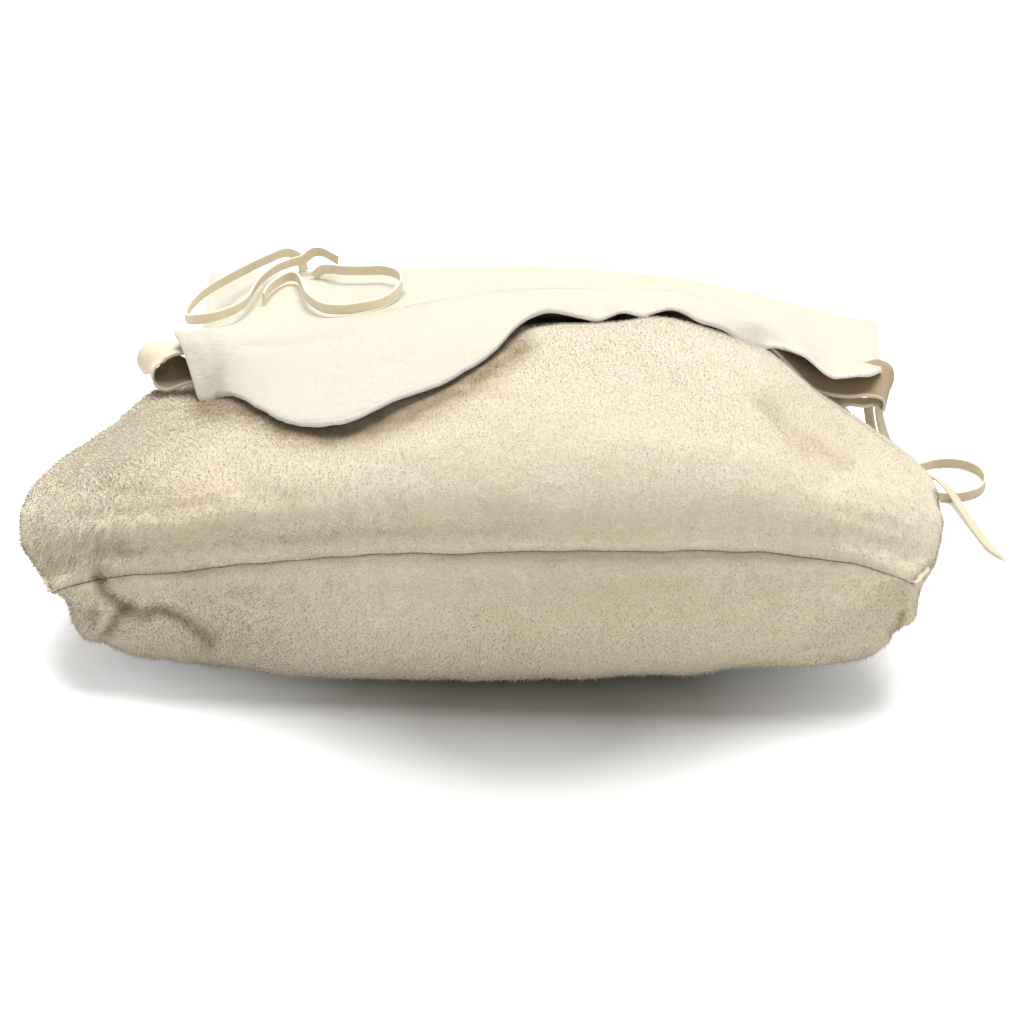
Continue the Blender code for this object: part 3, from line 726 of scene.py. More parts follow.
def new_tree(name, sockets):
    """A geometry tree with named inputs, and its group input and output nodes."""
    tree = bpy.data.node_groups.new(name, "GeometryNodeTree")
    tree.interface.new_socket("Geometry", in_out='OUTPUT', socket_type="NodeSocketGeometry")
    tree.interface.new_socket("Geometry", in_out='INPUT', socket_type="NodeSocketGeometry")
    for label, kind in sockets:
        tree.interface.new_socket(label, in_out='INPUT', socket_type="NodeSocket" + kind)
    start = tree.nodes.new("NodeGroupInput")
    end = tree.nodes.new("NodeGroupOutput")
    return tree, start.outputs, end


def read(tree, name, kind='FLOAT'):
    """What the source mesh keeps for each point under a name."""
    return node(tree, "GeometryNodeInputNamedAttribute", {"Name": name}, data_type=kind).outputs[0]


def store(tree, geometry, name, value, domain):
    return node(tree, "GeometryNodeStoreNamedAttribute", {"Geometry": geometry, "Name": name, 3: value},
                data_type='FLOAT', domain=domain).outputs[0]


def maths(tree, operation, *values):
    return node(tree, "ShaderNodeMath", dict(enumerate(values)), operation=operation).outputs[0]


def scaled(tree, vector, factor):
    return node(tree, "ShaderNodeVectorMath", {0: vector, "Scale": factor}, operation='SCALE').outputs[0]


def added(tree, first, second):
    return node(tree, "ShaderNodeVectorMath", {0: first, 1: second}, operation='ADD').outputs[0]


def facing_line(tree, mesh):
    """A curve along a line of edges, turned by the way that 'lie' gives."""
    line = node(tree, "GeometryNodeMeshToCurve", {"Mesh": mesh}).outputs[0]
    lie = read(tree, "lie", 'FLOAT_VECTOR')
    return node(tree, "GeometryNodeSetCurveNormal", {"Curve": line, "Normal": lie}, mode='FREE').outputs[0]


def finish_tree(tree, geometry, material, end):
    whole = node(tree, "GeometryNodeRealizeInstances", {"Geometry": geometry})
    dressed = node(tree, "GeometryNodeSetMaterial", {"Geometry": whole.outputs[0], "Material": material})
    tree.links.new(dressed.outputs[0], end.inputs[0])


def grown(name, source, tree, values):
    """Runs a tree on a source mesh and keeps the result as a plain mesh of its own."""
    thing = link(name + "_source", source)
    step = thing.modifiers.new("grow", 'NODES')
    step.node_group = tree
    for item in tree.interface.items_tree:
        if item.in_out == 'INPUT' and item.name in values:
            step[item.identifier] = values[item.name]
    bpy.context.view_layer.update()
    graph = bpy.context.evaluated_depsgraph_get()
    mesh = bpy.data.meshes.new_from_object(thing.evaluated_get(graph), depsgraph=graph)
    mesh.name = name
    thing.modifiers.remove(step)
    bpy.data.objects.remove(thing, do_unlink=True)
    return link(name, mesh)


def lace_tree():
    """Sweeps a flat lace along a line; 'lie' is the way its face looks, 'narrow' its share of the width."""
    tree, given, end = new_tree("flat lace", [("Width", "Float"), ("Thickness", "Float"),
                                              ("Material", "Material")])
    line = facing_line(tree, given["Geometry"])
    corner = maths(tree, 'MULTIPLY', given["Thickness"], 0.35)
    outline = node(tree, "GeometryNodeCurvePrimitiveQuadrilateral",
                   {"Width": given["Thickness"], "Height": given["Width"]}).outputs[0]
    outline = node(tree, "GeometryNodeFilletCurve",
                   {"Curve": outline, "Count": 2, "Radius": corner}, mode='POLY').outputs[0]
    outline = node(tree, "GeometryNodeResampleCurve", {"Curve": outline, "Count": 26}).outputs[0]
    where = node(tree, "ShaderNodeSeparateXYZ", {0: node(tree, "GeometryNodeInputPosition").outputs[0]}).outputs["Y"]
    where = maths(tree, 'DIVIDE', maths(tree, 'ABSOLUTE', where), given["Width"])
    outline = store(tree, outline, "side", where, 'POINT')
    swept = node(tree, "GeometryNodeCurveToMesh", {"Curve": line, "Profile Curve": outline,
                                                   "Scale": read(tree, "narrow"), "Fill Caps": True}).outputs[0]
    finish_tree(tree, swept, given["Material"], end)
    return tree


def nap_tree():
    """Scatters nap fibres over a skin; 'nap' sets how thick and long, 'comb' the way they lie."""
    tree, given, end = new_tree("nap", [("Density", "Float"), ("Length", "Float"), ("Lean", "Float"),
                                        ("Tangle", "Float"), ("Seed", "Int"), ("Fibre", "Object"),
                                        ("Material", "Material")])
    nap = read(tree, "nap")
    spread = node(tree, "GeometryNodeDistributePointsOnFaces",
                  {"Mesh": given["Geometry"], "Density": maths(tree, 'MULTIPLY', nap, given["Density"]),
                   "Seed": given["Seed"]})
    tangle = node(tree, "FunctionNodeRandomValue", {0: (-1.0, -1.0, -1.0), 1: (1.0, 1.0, 1.0), "Seed": 7},
                  data_type='FLOAT_VECTOR').outputs[0]
    leaning = scaled(tree, read(tree, "comb", 'FLOAT_VECTOR'), given["Lean"])
    way = added(tree, added(tree, spread.outputs["Normal"], leaning), scaled(tree, tangle, given["Tangle"]))
    turn = node(tree, "FunctionNodeAlignRotationToVector", {"Vector": way}, axis='Z').outputs[0]
    share = node(tree, "FunctionNodeRandomValue", {2: 0.45, 3: 1.15, "Seed": 3}, data_type='FLOAT').outputs[1]
    size = maths(tree, 'MULTIPLY', maths(tree, 'MULTIPLY', share, given["Length"]), nap)
    fibre = node(tree, "GeometryNodeObjectInfo", {"Object": given["Fibre"]}).outputs["Geometry"]
    fibres = node(tree, "GeometryNodeInstanceOnPoints",
                  {"Points": spread.outputs[0], "Instance": fibre, "Rotation": turn, "Scale": size}).outputs[0]
    shade = node(tree, "FunctionNodeRandomValue", {2: 0.0, 3: 1.0, "Seed": 11}, data_type='FLOAT').outputs[1]
    fibres = store(tree, fibres, "shade", shade, 'INSTANCE')
    # Each fibre carries the painted shade ('fold') of the skin under it.
    fibres = store(tree, fibres, "fold", read(tree, "fold"), 'INSTANCE')
    finish_tree(tree, fibres, given["Material"], end)
    return tree


def stitch_tree():
    """Lays stitches along a line, each across it; 'lie' is the way out of the leather."""
    tree, given, end = new_tree("stitches", [("Pitch", "Float"), ("Stitch", "Object"), ("Material", "Material")])
    line = facing_line(tree, given["Geometry"])
    places = node(tree, "GeometryNodeCurveToPoints", {"Curve": line, "Length": given["Pitch"]}, mode='LENGTH')
    stitch = node(tree, "GeometryNodeObjectInfo", {"Object": given["Stitch"]}).outputs["Geometry"]
    row = node(tree, "GeometryNodeInstanceOnPoints", {"Points": places.outputs[0], "Instance": stitch,
                                                      "Rotation": places.outputs["Rotation"]}).outputs[0]
    finish_tree(tree, row, given["Material"], end)
    return tree


# Making the pieces

def build_fibre():
    """One nap fibre, a leaning three-sided spike one unit long; the tree scales it."""
    wide = NAP_WIDTH / NAP_LENGTH
    base = [(wide * cos(a), wide * sin(a), -0.08) for a in (0.0, 2 * pi / 3, 4 * pi / 3)]
    mesh = mesh_of("nap_fibre", base + [(0.28, 0.0, 0.96)], [(0, 1, 3), (1, 2, 3), (2, 0, 3), (2, 1, 0)])
    return link("nap_fibre", mesh)


def build_stitch():
    """One stitch of thread across the seam: a bent bar with rounded ends."""
    rings, sides = 5, 6
    points, faces = [], []
    for k in range(rings):
        f = k / (rings - 1)
        bend = sin(pi * f)
        girth = STITCH_WIDTH / 2 * (0.45 + 0.55 * bend)
        for m in range(sides):
            a = 2 * pi * m / sides
            points.append((girth * cos(a) + STITCH_WIDTH * 0.8 * (bend - 1.0), (f - 0.5) * STITCH_LENGTH,
                           girth * sin(a)))
    for k in range(rings - 1):
        for m in range(sides):
            n = (m + 1) % sides
            faces.append((k * sides + m, k * sides + n, (k + 1) * sides + n, (k + 1) * sides + m))
    faces.append(tuple(range(sides))[::-1])
    faces.append(tuple((rings - 1) * sides + m for m in range(sides)))
    mesh = mesh_of("stitch", points, faces)
    return link("stitch", mesh)


def line_mesh(name, points, lie, narrow=None):
    """A line of edges with the attributes that the lace and stitch trees read."""
    mesh = bpy.data.meshes.new(name)
    mesh.from_pydata([tuple(p) for p in points], [(k, k + 1) for k in range(len(points) - 1)], [])
    painted(mesh, "lie", lie, 'FLOAT_VECTOR')
    painted(mesh, "narrow", np.ones(len(points)) if narrow is None else narrow)
    return mesh


def skin_mesh(name, grid, nap, comb, fold):
    """The outer faces of a sheet, with how thick its nap is, the way it lies and its painted shade ('fold')."""
    mesh = mesh_of(name, grid.reshape(-1, 3), grid_faces(*grid.shape[:2]).tolist())
    painted(mesh, "nap", nap)
    painted(mesh, "fold", fold)
    painted(mesh, "comb", comb, 'FLOAT_VECTOR')
    return mesh


def square_to(way, out):
    """The part of a way that is square to another, one unit long."""
    return unit(way - out * np.sum(way * out, -1, keepdims=True))


def swirled(grid, way, out, amount):
    """Turns a combing direction to and fro over the leather, as rubbed suede lies."""
    turn = rough(grid, 22.0, 5.0)[..., None] * amount
    flat = square_to(way, out)
    return flat * np.cos(turn) + np.cross(out, flat) * np.sin(turn)


def finished(piece, slot, *nodes):
    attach(piece, "root")
    if nodes:
        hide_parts(*nodes)
    return piece


def lace_line(route, tree):
    """The lace's middle line as part.py lays it: its places along the route, lifted off the flap."""
    steps = LACE_STEPS * (len(route) - 1)
    line = []
    for k in range(steps + 1):
        p = catmull(route, k / steps)
        below = top_of(tree, p.x, p.y)
        rest = 0.0 if below is None or below > p.z else below + LACE_DIAMETER / 2 + LAY_GAP
        line.append(Vector((p.x, p.y + BOTTOM_Y, max(p.z, rest) if k > 0 else p.z)))
    return line


# The laces: name, route, what each comes out of, its turn along the way in degrees (0 on edge, 90 flat)
# and the share of its width that is left at its very end
LACES = [("left_lace", LEFT_LACE, "flap", [0, 0, 0, 8, 8, 0], 1.0),
         ("left_lace_end", LEFT_LACE_END, "flap", [0, 0, 0, 0, 0, 0], 1.0),
         ("right_lace", RIGHT_LACE, "shoulder_strap", [-20, 0, 0, 0, 70, 78], 0.25),
         ("right_lace_end", RIGHT_LACE_END, "shoulder_strap", [-20, -10, 0], 0.6)]
STEEP = 0.35
TAPER_START = 0.94


def make_laces(left_face, right_face, trees):
    tree = lace_tree()
    for name, route, source, turns, tip in LACES:
        material = left_face if name.startswith("left") else right_face
        line = lace_line(seat(route, trees[source]), trees["flap"])
        points = spline(np.array([tuple(p) for p in line]), 3)
        ahead = unit(np.gradient(points, axis=0))
        side = np.cross(ahead, (0.0, 0.0, 1.0))
        for step, numbers in ((-1, range(1, len(side))), (1, range(len(side) - 2, -1, -1))):
            for k in numbers:
                if np.linalg.norm(side[k]) < STEEP:
                    side[k] = side[k + step]
        side = square_to(side, ahead)
        for _ in range(6):
            side = unit(np.concatenate([side[:1], (side[:-2] + side[1:-1] * 2 + side[2:]) / 4, side[-1:]]))
            side = square_to(side, ahead)
        share = np.linspace(0, len(turns) - 1, len(points))
        turn = np.radians(np.interp(share, range(len(turns)), turns))[:, None]
        lie = side * np.cos(turn) + np.cross(ahead, side) * np.sin(turn)
        wide = np.cross(ahead, lie)
        reach = np.abs(wide[:, 2]) * LACE_WIDTH / 2 + np.abs(lie[:, 2]) * LACE_THICKNESS / 2
        along = np.linspace(0, 1, len(points))
        points[:, 2] += (reach - LACE_DIAMETER / 2) * np.clip(along * 12, 0, 1)
        points[:, 2] = np.maximum(points[:, 2], reach + 0.0002)
        narrow = 1 + (tip - 1) * ramp(along, TAPER_START, 1 - TAPER_START)
        piece = grown(name + "_flat", line_mesh(name, points, lie, narrow), tree,
                      {"Width": LACE_WIDTH, "Thickness": LACE_THICKNESS, "Material": material})
        finished(piece, "flap_suede", name)


# Creases of the front panel: places along each, half width, depth
FRONT_CREASES = [
    ([(0.129, 0.064, 0.118), (0.139, 0.059, 0.112), (0.147, 0.054, 0.108), (0.162, 0.046, 0.102)], 0.0060, 0.0022),
    ([(-0.160, 0.014, 0.068), (-0.131, 0.008, 0.0745), (-0.096, 0.005, 0.081), (-0.070, 0.0055, 0.081),
      (-0.027, 0.004, 0.0845), (0.024, 0.003, 0.0875)], 0.0065, 0.0012),
    ([(-0.169, 0.055, 0.079), (-0.150, 0.037, 0.084), (-0.132, 0.026, 0.088), (-0.119, 0.024, 0.092)],
     0.0040, 0.0012),
    ([(-0.173, 0.034, 0.074), (-0.152, 0.025, 0.080), (-0.131, 0.017, 0.085), (-0.108, 0.014, 0.090)],
     0.0045, 0.0014),
    ([(-0.180, 0.024, 0.064), (-0.165, 0.018, 0.069), (-0.150, 0.012, 0.070)], 0.0040, 0.0012),
    ([(0.161, 0.017, 0.093), (0.172, 0.020, 0.088), (0.184, 0.025, 0.083)], 0.0035, 0.0011),
    ([(-0.091, 0.015, 0.0955), (-0.077, 0.010, 0.0945)], 0.0060, 0.0012),
    ([(0.2066, 0.075, 0.0782), (0.2066, 0.062, 0.0781)], 0.0030, 0.0025)]
# Creases round the lower corners as the camera sees them: picture places along each, half width, depth
SEEN_CREASES = [
    ([(97, 578), (105, 592), (118, 602), (126, 610)], 0.0026, 0.0042),
    ([(126, 610), (116, 619), (109, 631)], 0.0026, 0.0036),
    ([(126, 610), (143, 614), (160, 610), (179, 617), (194, 627), (210, 644)], 0.0034, 0.0042),
    ([(70, 616), (84, 617), (93, 612)], 0.0028, 0.0036),
    ([(903, 612), (900, 624), (894, 634)], 0.0022, 0.0050),
    ([(939, 492), (943, 502), (945, 512)], 0.0018, 0.0014)]
# Places that stand proud or lie low as the camera sees them: picture place, reach, height
SEEN_SWELLS = [((150, 396), 0.019, 0.0055), ((145, 590), 0.010, 0.0012), ((160, 635), 0.012, 0.0016),
               ((88, 600), 0.009, 0.0016), ((79, 624), 0.010, 0.0085), ((912, 618), 0.008, 0.0035)]
# Shaded places: picture places along each, reach, how dark
SEEN_SHADES = [([(205, 408), (240, 408), (265, 417), (290, 430), (320, 434), (355, 432), (405, 415), (445, 394),
                 (485, 370),
                 (520, 345)], 0.0064, 0.95), ([(914, 581), (922, 574), (929, 567)], 0.0032, 0.35),
               ([(90, 560), (104, 572)], 0.0060, 0.35), ([(20, 540), (45, 585)], 0.0080, 0.18),
               ([(110, 480), (175, 500), (240, 520)], 0.0070, 0.12), ([(800, 440), (840, 455)], 0.0100, 0.12),
               ([(190, 590), (260, 620), (330, 640)], 0.0120, 0.08), ([(560, 590), (600, 600)], 0.0100, 0.08),
               ([(480, 500), (530, 520), (600, 525)], 0.0080, 0.08), ([(700, 480), (760, 500)], 0.0080, 0.08)]
# The flap's left side by y from the bottom end: its shift in x, then its rise or droop
FLAP_SIDE = [(0.172, 0.0080), (0.190, 0.0010), (0.204, -0.0055), (0.222, -0.0020), (0.245, 0.0030), (0.290, 0.0040),
             (0.340, 0.0030)]
FLAP_DROOP = [(0.172, 0.0), (0.190, 0.001), (0.205, 0.003), (0.225, -0.006), (0.260, -0.010), (0.310, -0.006),
              (0.335, 0.0)]
# Where the flap's raw front edge stands up or dips: x, lift, half width
FLAP_WAVES = [(-0.128, 0.0010, 0.012), (-0.075, -0.0008, 0.014), (0.018, 0.0020, 0.008), (0.030, 0.0030, 0.009),
              (0.050, -0.0012, 0.005), (0.062, 0.0018, 0.005), (0.073, -0.0012, 0.004), (0.088, 0.0032, 0.008),
              (0.108, 0.0008, 0.006), (0.120, -0.0005, 0.005), (0.137, -0.0060, 0.009),
              (0.152, 0.0010, 0.007)]


# How the stuffed corners stand: a place on the solids' corner, x, y from the bottom end, z, and its shift
CORNERS = [((-0.190, 0.0165, 0.038), (0.011, 0.0, -0.003)), ((-0.178, 0.0185, 0.038), (0.004, 0.0, -0.012)),
           ((-0.165, 0.0215, 0.036), (0.0, 0.0, -0.017)), ((-0.150, 0.0185, 0.028), (-0.002, 0.0, -0.012)),
           ((-0.130, 0.0185, 0.018), (0.0, 0.0, -0.004)), ((-0.180, 0.0535, 0.039), (0.0, 0.0, -0.012)),
           ((-0.165, 0.0375, 0.027), (0.0, 0.0, -0.010)), ((0.201, 0.0165, 0.050), (-0.003, 0.0, 0.0)),
           ((0.194, 0.0335, 0.047), (-0.001, 0.0, -0.016)), ((0.179, 0.0275, 0.034), (0.002, 0.0, -0.013)),
           ((0.161, 0.0175, 0.028), (0.0, 0.0, -0.007)), ((-0.188, 0.0165, 0.062), (0.002, 0.0, 0.0)),
           ((0.200, 0.0165, 0.070), (0.0, 0.0, 0.0)), ((-0.150, 0.006, 0.065), (0.0, 0.0, 0.0)),
           ((0.165, 0.006, 0.065), (0.0, 0.0, 0.0)), ((0.120, 0.030, 0.006), (0.0, 0.0, 0.006)),
           ((0.150, 0.035, 0.012), (0.0, 0.0, 0.005)), ((0.090, 0.030, 0.004), (0.0, 0.0, 0.004)),
           ((0.186, 0.028, 0.036), (0.006, 0.0, -0.012)), ((-0.170, 0.009, 0.052), (0.0, 0.0, 0.008)),
           ((-0.183, 0.010, 0.049), (0.004, 0.0, 0.006)), ((-0.155, 0.007, 0.056), (0.0, 0.0, 0.004))]
CORNER_REACH = 0.017
PLEAT_REACH = 8

# The crown right of the middle, by pixels of the photograph, and how far it stands up
CROWN_LINE = [(675, 332), (720, 344), (760, 360)]
CROWN_RISE = 0.0082
CROWN_REACH = 0.026

FLOOR_HALF = 4.0

# How each nap grows; the body's is grown in two parts, left and right
BODY_NAP = {"Density": 900000.0, "Length": NAP_LENGTH, "Lean": 1.1, "Tangle": 0.75}
BODY_NAP_WAY = (-0.35, -0.45, -0.75)
BODY_NAP_SEED = 10
NAP_PARTS = ("left", "right")
FLAP_NAP = {"Density": 520000.0, "Length": FLAP_NAP_LENGTH, "Lean": 1.5, "Tangle": 0.6, "Seed": 21}
FLAP_NAP_WAY = (0.6, -0.8, 0.0)


def stuffed(grid):
    """The grid with its lower corners filled out and down, as the packing stands in them."""
    shift, total = np.zeros_like(grid), np.full(grid.shape[:2] + (1,), 0.35)
    for place, way in CORNERS:
        off = grid - np.array(place) - np.array([0.0, BOTTOM_Y, 0.0])
        share = np.exp(-np.sum(off * off, -1, keepdims=True) / CORNER_REACH ** 2)
        shift += share * np.array(way)
        total += share
    return grid + shift / total


def closed_pleat(grid, front, folded, steps):
    """The pleat at each end of the back panel drawn up to the front panel's side, so that it does not gape."""
    rows = (folded + 1) * steps[0]
    across = np.arange(grid.shape[1])
    share = np.linspace(0, 1, rows + 1)
    grid = grid.copy()
    for k, ends in ((0, across), (-1, across[::-1])):
        side = spline(np.array([tuple(row[k]) for row in front]), 24)[:25]
        edge = np.stack([np.interp(share, np.linspace(0, 1, 25), side[:, n]) for n in range(3)], -1)
        flat = grid[:1] + (edge - edge[:1])[:, None]
        amount = np.clip(1 - ends / (PLEAT_REACH * steps[1]), 0, 1)[None, :, None] ** 1.5
        grid[:rows + 1] += (flat - grid[:rows + 1]) * amount
    return grid


def seam_form(grid, distance):
    """Height by the seams: the sheet turns down into the seam, with a puckered roll beside it."""
    gathers = rough(grid, 130.0, 2.0) * 0.5 + rough(grid, 60.0, 9.0) * 0.5
    return (-SEAM_DEPTH * dips(distance, SEAM_REACH) + ROLL_HEIGHT * dips(distance - 0.007, 0.0045)
            + 0.0007 * gathers * dips(distance - 0.005, 0.008))


def crown_raise(grid):
    """How far the full side of the bag, right of the middle, stands up; its flap goes with it."""
    return CROWN_RISE * dips(seen_from_line(grid, CROWN_LINE), CROWN_REACH) * ramp(grid[..., 2], 0.05, 0.03)


def facing_view(out, steep, share):
    """From 0 to 1: how far the leather looks towards the camera."""
    return np.clip(-steep * (out @ view_axes()[2]) + share, 0, 1)


def panel_height(grid, out, distance, creases, woolly):
    height = seam_form(grid, distance)
    for points, reach, depth in creases:
        height -= depth * dips(from_line(grid, points), reach)
    facing = facing_view(out, 4, 0.5)
    for points, reach, depth in SEEN_CREASES:
        height -= depth * facing * dips(seen_from_line(grid, points), reach)
    turned = facing_view(out, 2, 0.9)
    for place, reach, rise in SEEN_SWELLS:
        height += rise * turned * dips(seen_from_line(grid, [place]), reach)
    inner = ramp(distance, 0.0, 0.02)
    height += (0.0022 * rough(grid, 11.0, 4.0) + 0.0014 * rough(grid, 26.0) + 0.0005 * rough(grid, 70.0, 6.0)) * inner
    height += (0.00022 + 0.00030 * woolly) * rough(grid, 210.0, 3.0)
    return height


def fold_shade(grid, out, distance, creases):
    """From 0 to 1: painted shade in the leather's creases, in the seam groove and where the flap's edge and other
    parts shade it, as the camera sees them, with some random unevenness.
    """
    facing = facing_view(out, 4, 0.5)
    shade = 0.25 * dips(distance, 0.0018)
    for points, reach, _ in creases:
        shade = shade + 0.10 * dips(from_line(grid, points), reach)
    for points, reach, _ in SEEN_CREASES:
        shade = shade + 0.80 * facing * dips(seen_from_line(grid, points), reach * 0.8)
    for place, reach, dark in SEEN_SHADES:
        shade = shade + dark * facing * dips(seen_from_line(grid, place), reach)
    return np.clip(shade * (1 + 0.5 * rough(grid, 160.0, 9.0)), 0, 1)


def woolliness(grid):
    """From 0 to 1: the nap is longer at the left end and round the bottom."""
    left = ramp(grid[..., 0], -0.04, -0.14)
    low = ramp(grid[..., 2], 0.075, -0.06) * 0.6
    return np.clip(left + low + 0.35 * rough(grid, 18.0, 7.0), 0, 1)


def flap_cover(grid):
    """True where the flap lies over a place, well in from its raw edge."""
    edge = spline(np.array([tuple(p) for p in FLAP_EDGE]), 12)
    edge_y = np.interp(grid[..., 0], edge[:, 0], edge[:, 1], left=9.0, right=9.0) + BOTTOM_Y
    return grid[..., 1] > edge_y + 0.022


def grow_nap(name, skin, slot, turned, tree, values):
    """Grows nap fibres on a skin; a skin whose faces look inwards is turned first."""
    if turned:
        skin.flip_normals()
    finished(grown(name, skin, tree, values), slot)


def pared(grid):
    """The back panel's thickness: its folds are pared thinner towards both ends of the seam."""
    j = np.arange(grid.shape[0])[:, None] / BACK_FINE[0]
    i = np.arange(grid.shape[1])[None, :] / BACK_FINE[1]
    return (LEATHER * (1 - PARED * dips(j / FOLDED_ROWS - 0.6, 1.0) * np.abs(2 * i / ACROSS - 1) ** 4))[..., None]


def make_body(pile, fur, cut, thread):
    front, back = front_rows(), back_rows()
    press(front, 1, FRONT_FOLDS)
    press(back, -1, BACK_FOLDS)
    front_out, back_out = sew(front, back)
    fibre, stitch = build_fibre(), build_stitch()
    grow = nap_tree()
    seam_lines = []
    for name, rows, way_out, steps, creases, side in (
            ("front_panel", front, front_out, FRONT_FINE, FRONT_CREASES, 1),
            ("back_panel", back, back_out, BACK_FINE, [], -1)):
        grid, out = fine(rows, steps), unit(fine(way_out, steps))
        if name == "back_panel":
            grid = closed_pleat(grid, front, FOLDED_ROWS, steps)
        grid = stuffed(grid)
        along, across = run_length(grid, 0), run_length(grid, 1)
        sides = to_ends(across, 1)
        if name == "back_panel":
            sides = np.where(np.arange(grid.shape[0])[:, None] < FOLDED_ROWS * steps[0], 0.012, sides)
        distance = np.minimum(along, sides)
        woolly = woolliness(grid)
        height = panel_height(grid, out, distance, creases, woolly)
        grid = grid + out * height[..., None]
        grid[..., 2] += 0.0010 * rough(grid, 75.0, 12.0) * dips(distance, 0.010)
        grid[..., 2] = np.maximum(grid[..., 2] + crown_raise(grid), 0.0)
        thick = pared(grid) if name == "back_panel" else LEATHER
        mesh = sheet_mesh(name + "_suede", grid, out, thick, [pile, pile, cut], side, 0.0)
        # The 'fold' attribute is painted shade, which the materials turn darker and browner.
        fold = fold_shade(grid, out, distance, creases)
        painted(mesh, "fold", fold)
        finished(link(name + "_suede", mesh), "body_suede", name)
        if name == "front_panel":
            seam_lines += [(grid[0], out[0])] + [(grid[:, k], out[:, k]) for k in (0, -1)]
            seen = ~flap_cover(grid)
        else:
            seen = grid[..., 1] < BOTTOM_Y + BODY_LENGTH
        nap = (0.55 + 0.45 * woolly) * ramp(grid[..., 2], 0.003, 0.004) * seen * np.clip(distance / 0.0016, 0.25, 1)
        comb = swirled(grid, BODY_NAP_WAY, out, 1.1)
        last = grid.shape[1] - 1
        for k, part in enumerate(NAP_PARTS):
            cols = slice(k * last // len(NAP_PARTS), (k + 1) * last // len(NAP_PARTS) + 1)
            skin = skin_mesh("skin", grid[:, cols], nap[:, cols], comb[:, cols], fold[:, cols])
            grow_nap("%s_nap_%s" % (name, part), skin, "body_suede", side < 0, grow,
                     {**BODY_NAP, "Seed": BODY_NAP_SEED + k, "Fibre": fibre, "Material": fur})
    tree = stitch_tree()
    for k, (line, out) in enumerate(seam_lines):
        points = line + out * 0.0001
        row = grown("seam_stitches_%d" % (k + 1), line_mesh("seam", points, out), tree,
                    {"Pitch": STITCH_PITCH, "Stitch": stitch, "Material": thread})
        finished(row, "body_suede")
    bpy.data.objects.remove(stitch, do_unlink=True)
    return fibre, grow, back


def make_flap(tree, smooth, inside, cut, fur, fibre, grow, back):
    rows = flap_rows(tree, back)
    grid, out = fine(rows, FLAP_FINE), unit(fine(normals(rows, -1), FLAP_FINE))
    along, across = run_length(grid, 0), run_length(grid, 1)
    to_front = along[-1:] - along
    lift = sum(height * dips(grid[..., 0] - x, reach) for x, height, reach in FLAP_WAVES)
    grid[..., 2] += lift * dips(to_front, 0.016)
    bag_y = grid[..., 1] - BOTTOM_Y
    left = dips(grid[..., 0] - grid[:, :1, 0], 0.022) * (grid[..., 2] > 0.06)
    grid[..., 0] += left * np.interp(bag_y, *zip(*FLAP_SIDE))
    grid[..., 2] += left ** 2 * np.interp(bag_y, *zip(*FLAP_DROOP))
    crease = from_line(grid, [(-0.119, 0.176, 0.104), (-0.0965, 0.150, 0.114), (-0.069, 0.128, 0.124)])
    grid += out * (-0.0016 * dips(crease, 0.0055) + 0.0006 * rough(grid, 30.0, 4.0))[..., None]
    ragged = (rough(grid, 190.0, 6.0) * 0.0006 + rough(grid, 70.0, 8.0) * 0.0008) * dips(to_front, 0.006)
    forward = unit(np.gradient(grid, axis=0))
    grid += forward * ragged[..., None]
    grid -= forward * (0.0045 * dips(to_front, 0.030) * dips(grid[..., 0] + 0.062, 0.055))[..., None]
    right_end = ramp(grid[..., 0], 0.130, 0.030) * dips(to_front, 0.030)
    grid += forward * (0.028 * right_end)[..., None]
    grid[..., 2] -= 0.0045 * right_end * ramp(grid[..., 0], 0.192, -0.015)
    grid[..., 0] += 0.0045 * ramp(grid[..., 0], 0.16, 0.03)
    over_fold = ramp(grid[..., 0], 0.167, 0.012) * dips(grid[..., 1] - BOTTOM_Y - 0.222, 0.030)
    grid[..., 2] += 0.0070 * over_fold
    belly = dips(to_front, 0.016) * dips(grid[..., 0] + 0.060, 0.060)
    grid[..., 2] += 0.0030 * belly
    grid += forward * (0.0070 * belly)[..., None]
    grid[..., 2] += crown_raise(grid)
    mesh = sheet_mesh("flap_suede", grid, out, FLAP_EDGE_THICKNESS, [smooth, inside, cut], -1, slant=0.0012)
    piece = finished(link("flap_suede", mesh), "flap_suede", "flap")
    nap = np.where(grid[..., 2] > 0.03, 0.75 + 0.25 * rough(grid, 20.0, 2.0), 0.0)
    skin = skin_mesh("skin", grid, nap, swirled(grid, FLAP_NAP_WAY, out, 0.9), np.zeros_like(nap))
    grow_nap("flap_nap", skin, "flap_suede", True, grow, {**FLAP_NAP, "Fibre": fibre, "Material": fur})


def make_strap(tree, face, inside, cut):
    rows, out_rows = strap_rows(tree)
    grid, out = fine(rows, STRAP_FINE), unit(fine(out_rows, STRAP_FINE))
    grid += out * (0.0003 * rough(grid, 60.0, 1.0))[..., None]
    back = np.linspace(0, 1, grid.shape[1])
    curl = ramp(grid[..., 0], -0.146, -0.020)
    low = ramp(grid[..., 2], 0.090, -0.014)
    turn = dips(np.minimum(grid[..., 0] + 0.182, 0.02), 0.010)
    grid[..., 2] += curl * (0.014 * back * low * (1 - turn) + 0.0035 * (1 - back) * (1 - low))
    grid[..., 0] += curl * (1 - back) * (0.0055 * (1 - low) - 0.0005 * low)
    fold = ramp(grid[..., 0], 0.125, 0.030) * ramp(grid[..., 2], 0.0705, 0.008)
    grid[..., 2] -= 0.0120 * fold * (1 - back)
    grid[..., 2] += crown_raise(grid)
    mesh = sheet_mesh("strap_folded", grid, out, STRAP_LEATHER, [face, inside, cut], -1)
    piece = finished(link("strap_folded", mesh), "strap_leather", "shoulder_strap")


